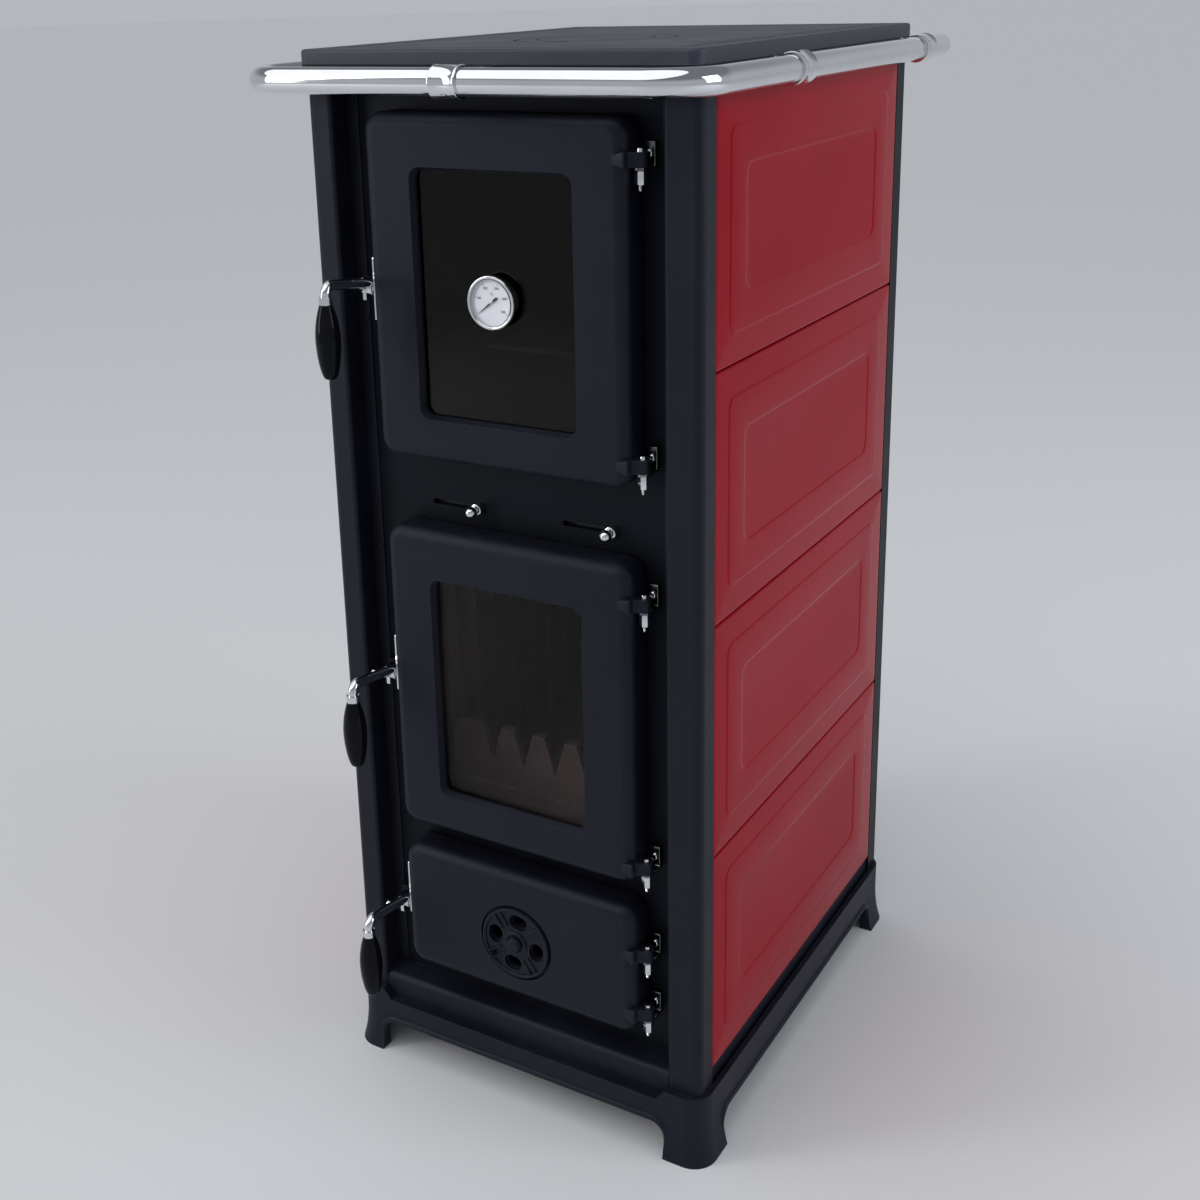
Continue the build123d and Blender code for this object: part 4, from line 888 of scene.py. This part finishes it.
# Latch grips: radius and drop, as shares of their own size
GRIP_PROFILE = ((0.0, 0.0), (0.50, 0.0), (0.54, 0.012), (0.585, 0.04), (0.70, 0.10), (0.82, 0.18),
                (0.92, 0.28), (0.985, 0.38), (1.0, 0.46), (0.985, 0.56), (0.93, 0.67), (0.84, 0.78),
                (0.73, 0.87), (0.61, 0.94), (0.50, 0.978), (0.36, 0.994), (0.18, 1.0), (0.0, 1.0))


def handle_grip(door):
    """The egg-shaped grip that hangs from a latch handle."""
    low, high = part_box(f"{door}_handle_grip")
    radius, length = (high.x - low.x) / 2, high.z - low.z
    at = Vector(((low.x + high.x) / 2, (low.y + high.y) / 2, high.z))
    bm = bmesh.new()
    turned(bm, [(across * radius, -drop * length) for across, drop in GRIP_PROFILE], at, Z_AXIS, steps=40)
    thing = finish_piece(f"{door}_handle_egg_grip", bm, f"{door}_handle", "grip_black",
                         (f"{door}_handle_grip",), sharp=60.0)
    smooth = thing.modifiers.new("smooth", "SUBSURF")
    smooth.levels = smooth.render_levels = 1


# Damper slides
BAR_THICK, BAR_SOFT = 3.0 * MM, 0.6 * MM
BALL_RADIUS = 6.0 * MM
KNOB_INSET = 10.0 * MM                      # from the bar's right end to the knob
STEM_RADIUS = 2.5 * MM
COLLAR = in_metres(((2.9, -8.6), (3.2, -8.2), (5.2, -8.0), (6.0, -7.5), (6.2, -6.6), (6.2, -1.2),
                    (5.9, -0.5), (5.4, -0.3), (2.5, -0.3)))


def damper_slide(name, body):
    """Dark iron bar behind the plate, and a chromed stem with a collar and a ball in front."""
    low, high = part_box(name)
    bar_front = high.y - BAR_THICK
    bar = bmesh.new()
    slab(bar, (low.x, bar_front, low.z), high, BAR_SOFT)
    finish_piece(f"{name}_bar", bar, body, "cast_black", (name,), material=COOKTOP_IRON)
    at = Vector((high.x - KNOB_INSET, lowest("front_plate").y, (low.z + high.z) / 2))
    middle = low.y + BALL_RADIUS - at.y
    turns = [math.radians(turn) for turn in range(15, 151, 15)]
    profile = [(0.0, middle - BALL_RADIUS)]
    profile += [(BALL_RADIUS * math.sin(turn), middle - BALL_RADIUS * math.cos(turn)) for turn in turns]
    profile += COLLAR + [(STEM_RADIUS, bar_front - at.y), (0.0, bar_front - at.y)]
    knob = bmesh.new()
    turned(knob, profile, at, Y_AXIS, steps=40)
    finish_piece(f"{name}_knob", knob, body, "chrome")


# Hinges: heights of the lugs' middles, and places in height measured from there
HINGE_HEIGHTS = {"oven": (990.0 * MM, 721.0 * MM), "fire": (589.0 * MM, 317.0 * MM),
                 "ash": (220.0 * MM, 153.0 * MM)}
ALL_HINGES = [height for pair in HINGE_HEIGHTS.values() for height in pair]
BRACKET_THICK, BRACKET_SOFT, BRACKET_TOP = 6.0 * MM, 1.1 * MM, 13.3 * MM
EAR_TOP, EAR_BOTTOM = -7.0 * MM, -9.5 * MM
EAR_LAP, EAR_SOFT, EAR_EDGE = 2.0 * MM, 0.5 * MM, 0.4 * MM
PIN_PROFILE = in_metres(((0.0, -10.5), (3.0, -10.5), (3.0, 8.0), (2.6, 9.0), (1.7, 9.45), (0.0, 9.5)))
NUT_FLATS, NUT_HEIGHT = 8.5 * MM, 12.0 * MM
THREAD_START, THREAD_TURNS, THREAD_PITCH = 11.5 * MM, 7, 0.8 * MM      # down from the ear's lower side
THREAD_CREST, THREAD_ROOT = 2.0 * MM, 1.65 * MM
THREAD_TIP = in_metres(((1.5, -17.3), (0.0, -17.5)))
HINGE_SCREW_LIFT, HINGE_SCREW = 3.0 * MM, (4.0 * MM, 2.4 * MM)
LUG_REACH, LUG_GAP = 25.0 * MM, 7.5 * MM
LUG_STAND, LUG_SINK, LUG_SOFT = 3.4 * MM, 9.0 * MM, 2.0 * MM
LUG_BELOW, LUG_ABOVE, LUG_TAPER = 8.4 * MM, 7.4 * MM, 0.55


def hinge_brackets():
    """Six angle brackets: an upright foot on the plate, and an ear with a round end under the lug."""
    pin = middle_of("hinge_pins")
    low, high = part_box("hinge_brackets")
    half_width = (high.x - low.x) / 2
    foot_front = high.y - BRACKET_THICK
    ear = ((0.0, EAR_BOTTOM), (half_width - EAR_EDGE, EAR_BOTTOM), (half_width, EAR_BOTTOM + EAR_EDGE),
           (half_width, EAR_TOP - EAR_EDGE), (half_width - EAR_EDGE, EAR_TOP), (0.0, EAR_TOP))
    bm = bmesh.new()
    for height in ALL_HINGES:
        slab(bm, (pin.x - half_width, foot_front, height + EAR_BOTTOM),
             (pin.x + half_width, high.y, height + BRACKET_TOP), BRACKET_SOFT)
        slab(bm, (pin.x - half_width, pin.y, height + EAR_BOTTOM),
             (pin.x + half_width, foot_front + EAR_LAP, height + EAR_TOP), EAR_SOFT)
        turned(bm, ear, Vector((pin.x, pin.y, height)), Z_AXIS, steps=36)
    finish_piece("zinc_hinge_brackets", bm, "stove_body", "chrome", ("hinge_brackets",), material=DARK_ZINC)


def hinge_pins():
    """Six pins through the lugs, each with a nut and a threaded tip under the ear."""
    pin = middle_of("hinge_pins")
    thread = [(0.0, 0.5 * MM - THREAD_START)]
    for step in range(THREAD_TURNS):
        start = -THREAD_START - step * THREAD_PITCH
        thread += [(THREAD_CREST, start), (THREAD_ROOT, start - THREAD_PITCH / 2)]
    bm = bmesh.new()
    for height in ALL_HINGES:
        turned(bm, PIN_PROFILE, Vector((pin.x, pin.y, height)), Z_AXIS, steps=28)
        under_ear = Vector((pin.x, pin.y, height + EAR_BOTTOM))
        hexagon_nut(bm, under_ear - Z_AXIS * NUT_HEIGHT / 2, NUT_FLATS, NUT_HEIGHT)
        turned(bm, thread + THREAD_TIP, under_ear, Z_AXIS, steps=20)
    finish_piece("chromed_hinge_pins", bm, "stove_body", "chrome", ("hinge_pins",))


def hinge_screws():
    """One button head on the foot of each bracket."""
    bm = bmesh.new()
    for height in ALL_HINGES:
        at = Vector((middle_of("hinge_pins").x, lowest("front_plate").y - BRACKET_THICK,
                     height + HINGE_SCREW_LIFT))
        screw_head(bm, at, -Y_AXIS, *HINGE_SCREW)
    finish_piece("hinge_screw_heads", bm, "stove_body", "chrome", ("body_screws",))


def door_lugs():
    """Cast lugs, one beside each hinge pin, that rise as wedges out of the doors' round edges."""
    hinge_x = middle_of("hinge_pins").x
    face = lowest("oven_door").y
    tip, root = hinge_x - LUG_REACH, hinge_x - LUG_GAP
    for door, levels in HINGE_HEIGHTS.items():
        bm = bmesh.new()
        for level in levels:
            slab(bm, (tip, face - LUG_STAND, level - LUG_BELOW), (root, face + LUG_SINK, level + LUG_ABOVE),
                 LUG_SOFT, 4)
        for vert in bm.verts:
            share = min(max((root - vert.co.x) / (root - tip), 0.0), 1.0)
            middle = min(levels, key=lambda level: abs(level - vert.co.z))
            vert.co.z = middle + (vert.co.z - middle) * (1.0 - LUG_TAPER * share)
            vert.co.y += share * (LUG_STAND + LUG_SOFT * 0.5)
        finish_piece(f"{door}_door_lug_pads", bm, f"{door}_door_leaf", "cast_black", sharp=60.0)


# Posts' inner flanges, and the screws of the panels and the back
POST_FLANGE_WIDTH, POST_FLANGE_THICK = 12.5 * MM, 1.6 * MM
POST_FLANGE_LAP, POST_FLANGE_GAP, POST_FLANGE_SOFT = 0.5 * MM, 0.3 * MM, 0.5 * MM
PLATE_GAP = 0.05 * MM
PANEL_SCREW_PLACES, PANEL_SCREW_LIFT = (-168.0 * MM, 159.5 * MM), 18.0 * MM
PANEL_SCREW = (2.8 * MM, 1.6 * MM)
BACK_SCREW = (4.0 * MM, 2.4 * MM)
BACK_SCREWS_TALL = 4


def post_flanges():
    """The inner flanges of the corner posts, which the panel screws go through."""
    plate_front = lowest("front_plate").y
    left_edge, right_edge = highest("post_front_left").x, lowest("post_front_right").x
    bottom = highest("front_sill").z + POST_FLANGE_GAP
    top = highest("post_front_left").z - POST_FLANGE_GAP
    bm = bmesh.new()
    for near, far in ((left_edge - POST_FLANGE_LAP, left_edge + POST_FLANGE_WIDTH),
                      (right_edge - POST_FLANGE_WIDTH, right_edge + POST_FLANGE_LAP)):
        slab(bm, (near, plate_front - POST_FLANGE_THICK, bottom), (far, plate_front - PLATE_GAP, top),
             POST_FLANGE_SOFT)
    finish_piece("post_inner_flanges", bm, "stove_body", "cast_black")


def panel_screws():
    """Blackened heads on the posts' flanges, one to a panel, and down both edges of the back."""
    low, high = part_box("body_screws")
    bm = bmesh.new()
    for x in PANEL_SCREW_PLACES:
        for row in (1, 2, 3, 4):
            level = lowest(f"side_panel_left_{row}").z + PANEL_SCREW_LIFT
            at = Vector((x, lowest("front_plate").y - POST_FLANGE_THICK, level))
            screw_head(bm, at, -Y_AXIS, *PANEL_SCREW)
    radius, rise = BACK_SCREW
    first, last = low.z + radius, high.z - radius
    for side in (-1, 1):
        for step in range(BACK_SCREWS_TALL):
            level = first + (last - first) * step / (BACK_SCREWS_TALL - 1)
            screw_head(bm, Vector((side * (high.x - radius), high.y - rise, level)), Y_AXIS, radius, rise)
    finish_piece("panel_screw_heads", bm, "stove_body", "cast_black")


# Air rosette
ROSETTE_THICK = 6.0 * MM
ROSETTE_FLOOR = 2.0 * MM                    # the disc's face, behind the front of the rim
ROSETTE_TRIM = 0.8 * MM                     # dark gap that is left round the rim
ROSETTE_RIM = 3.2 * MM
ROSETTE_SPOKE = 36.0                        # degrees to the first spoke
ROSETTE_SINK = 0.4 * MM
DISC_INSET = 0.6 * MM                       # the disc's edge, inside the rim
HOLE_CIRCLE, HOLE_LONG, HOLE_WIDE = 24.6 * MM, 21.0 * MM, 16.0 * MM
HUB_RING = in_metres(((9.0, 0.7), (10.0, 0.0), (12.2, 0.0), (13.2, 0.8)))
HUB_INNER, HUB_OUTER = 9.0 * MM, 13.4 * MM
RIB_START, RIB_SPREAD, RIB_HALF = 19.0 * MM, 3.8 * MM, 0.9 * MM
RIB_SINK, RIB_LAP, RIB_LOW, RIB_SOFT = 0.5 * MM, 1.0 * MM, 0.1 * MM, 0.5 * MM
TAB_LONG, TAB_HALF, TAB_INSET, TAB_SOFT = 8.5 * MM, 1.6 * MM, 0.1 * MM, 0.9 * MM


def rosette_disc(bm, turn, radius, thick):
    """The disc with its four openings, carried back from its face to its full thickness."""
    loops = [circle(bm, 72, radius - DISC_INSET, turn)]
    for step in range(4):
        spin = Matrix.Rotation(math.radians(ROSETTE_SPOKE + 45.0 + 90.0 * step), 4, "Z")
        place = turn @ spin @ Matrix.Translation((HOLE_CIRCLE, 0, 0))
        loops.append(outline(bm, place, HOLE_WIDE, HOLE_LONG, 0.49 * HOLE_WIDE, 0.0, 8))
    fill_flat(bm, loops)
    back = bmesh.ops.extrude_face_region(bm, geom=list(bm.faces))
    bmesh.ops.translate(bm, verts=keep(back["geom"], bmesh.types.BMVert), vec=(0, thick, 0))


def rosette_rings(bm, middle, radius):
    """The rim and the ring round the hub."""
    inner = radius - ROSETTE_RIM
    rim = ((inner, ROSETTE_THICK - ROSETTE_SINK), (inner, 0.9 * MM), (inner + 0.5 * MM, 0.25 * MM),
           (inner + 1.2 * MM, 0.0), (radius - 1.2 * MM, 0.0), (radius - 0.4 * MM, 0.3 * MM),
           (radius, 1.1 * MM), (radius, ROSETTE_THICK))
    turned(bm, rim, middle, Y_AXIS, steps=72, closed=True)
    start, end = [(across, ROSETTE_THICK - ROSETTE_SINK) for across in (HUB_INNER, HUB_OUTER)]
    turned(bm, [start] + HUB_RING + [end], middle, Y_AXIS, steps=48, closed=True)


def air_rosette():
    """Turning disc with four openings, a rim, a hub ring, ribs on its spokes and a finger tab."""
    low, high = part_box("air_rosette")
    radius = (high.x - low.x) / 2 - ROSETTE_TRIM
    middle = Vector(((low.x + high.x) / 2, high.y - ROSETTE_THICK, (low.z + high.z) / 2))
    face_y = middle.y + ROSETTE_FLOOR
    turn = Matrix.Translation((middle.x, face_y, middle.z)) @ FRONT_TURN
    bm = bmesh.new()
    rosette_disc(bm, turn, radius, high.y - face_y)
    rosette_rings(bm, middle, radius)
    for step in range(4):
        spoke = turn @ Matrix.Rotation(math.radians(ROSETTE_SPOKE + 90.0 * step), 4, "Z")
        for aside in (-RIB_SPREAD, RIB_SPREAD):
            slab(bm, (RIB_START, aside - RIB_HALF, -RIB_SINK),
                 (radius - ROSETTE_RIM + RIB_LAP, aside + RIB_HALF, ROSETTE_FLOOR - RIB_LOW),
                 RIB_SOFT, 2, spoke)
    tab = turn @ Matrix.Rotation(math.radians(ROSETTE_SPOKE + 180.0), 4, "Z")
    slab(bm, (radius - TAB_LONG, -TAB_HALF, -RIB_SINK), (radius - TAB_INSET, TAB_HALF, face_y - low.y),
         TAB_SOFT, 3, tab)
    finish_piece("turning_air_rosette", bm, "rosette", "cast_black", ("air_rosette",))


make_camera()
make_world()
make_floor()
make_lights()
dress_nodes()
side_panels()
hand_rail()
rail_clips()
thermometer_case()
thermometer_scale()
thermometer_needle()
for door in ("oven", "fire", "ash"):
    rope_seal(door)
    handle_grip(door)
damper_slide("oven_damper_slide", "oven_damper")
damper_slide("flue_damper_slide", "flue_damper")
hinge_brackets()
hinge_pins()
door_lugs()
post_flanges()
hinge_screws()
panel_screws()
air_rosette()

bpy.context.scene.view_settings.view_transform = "Standard"
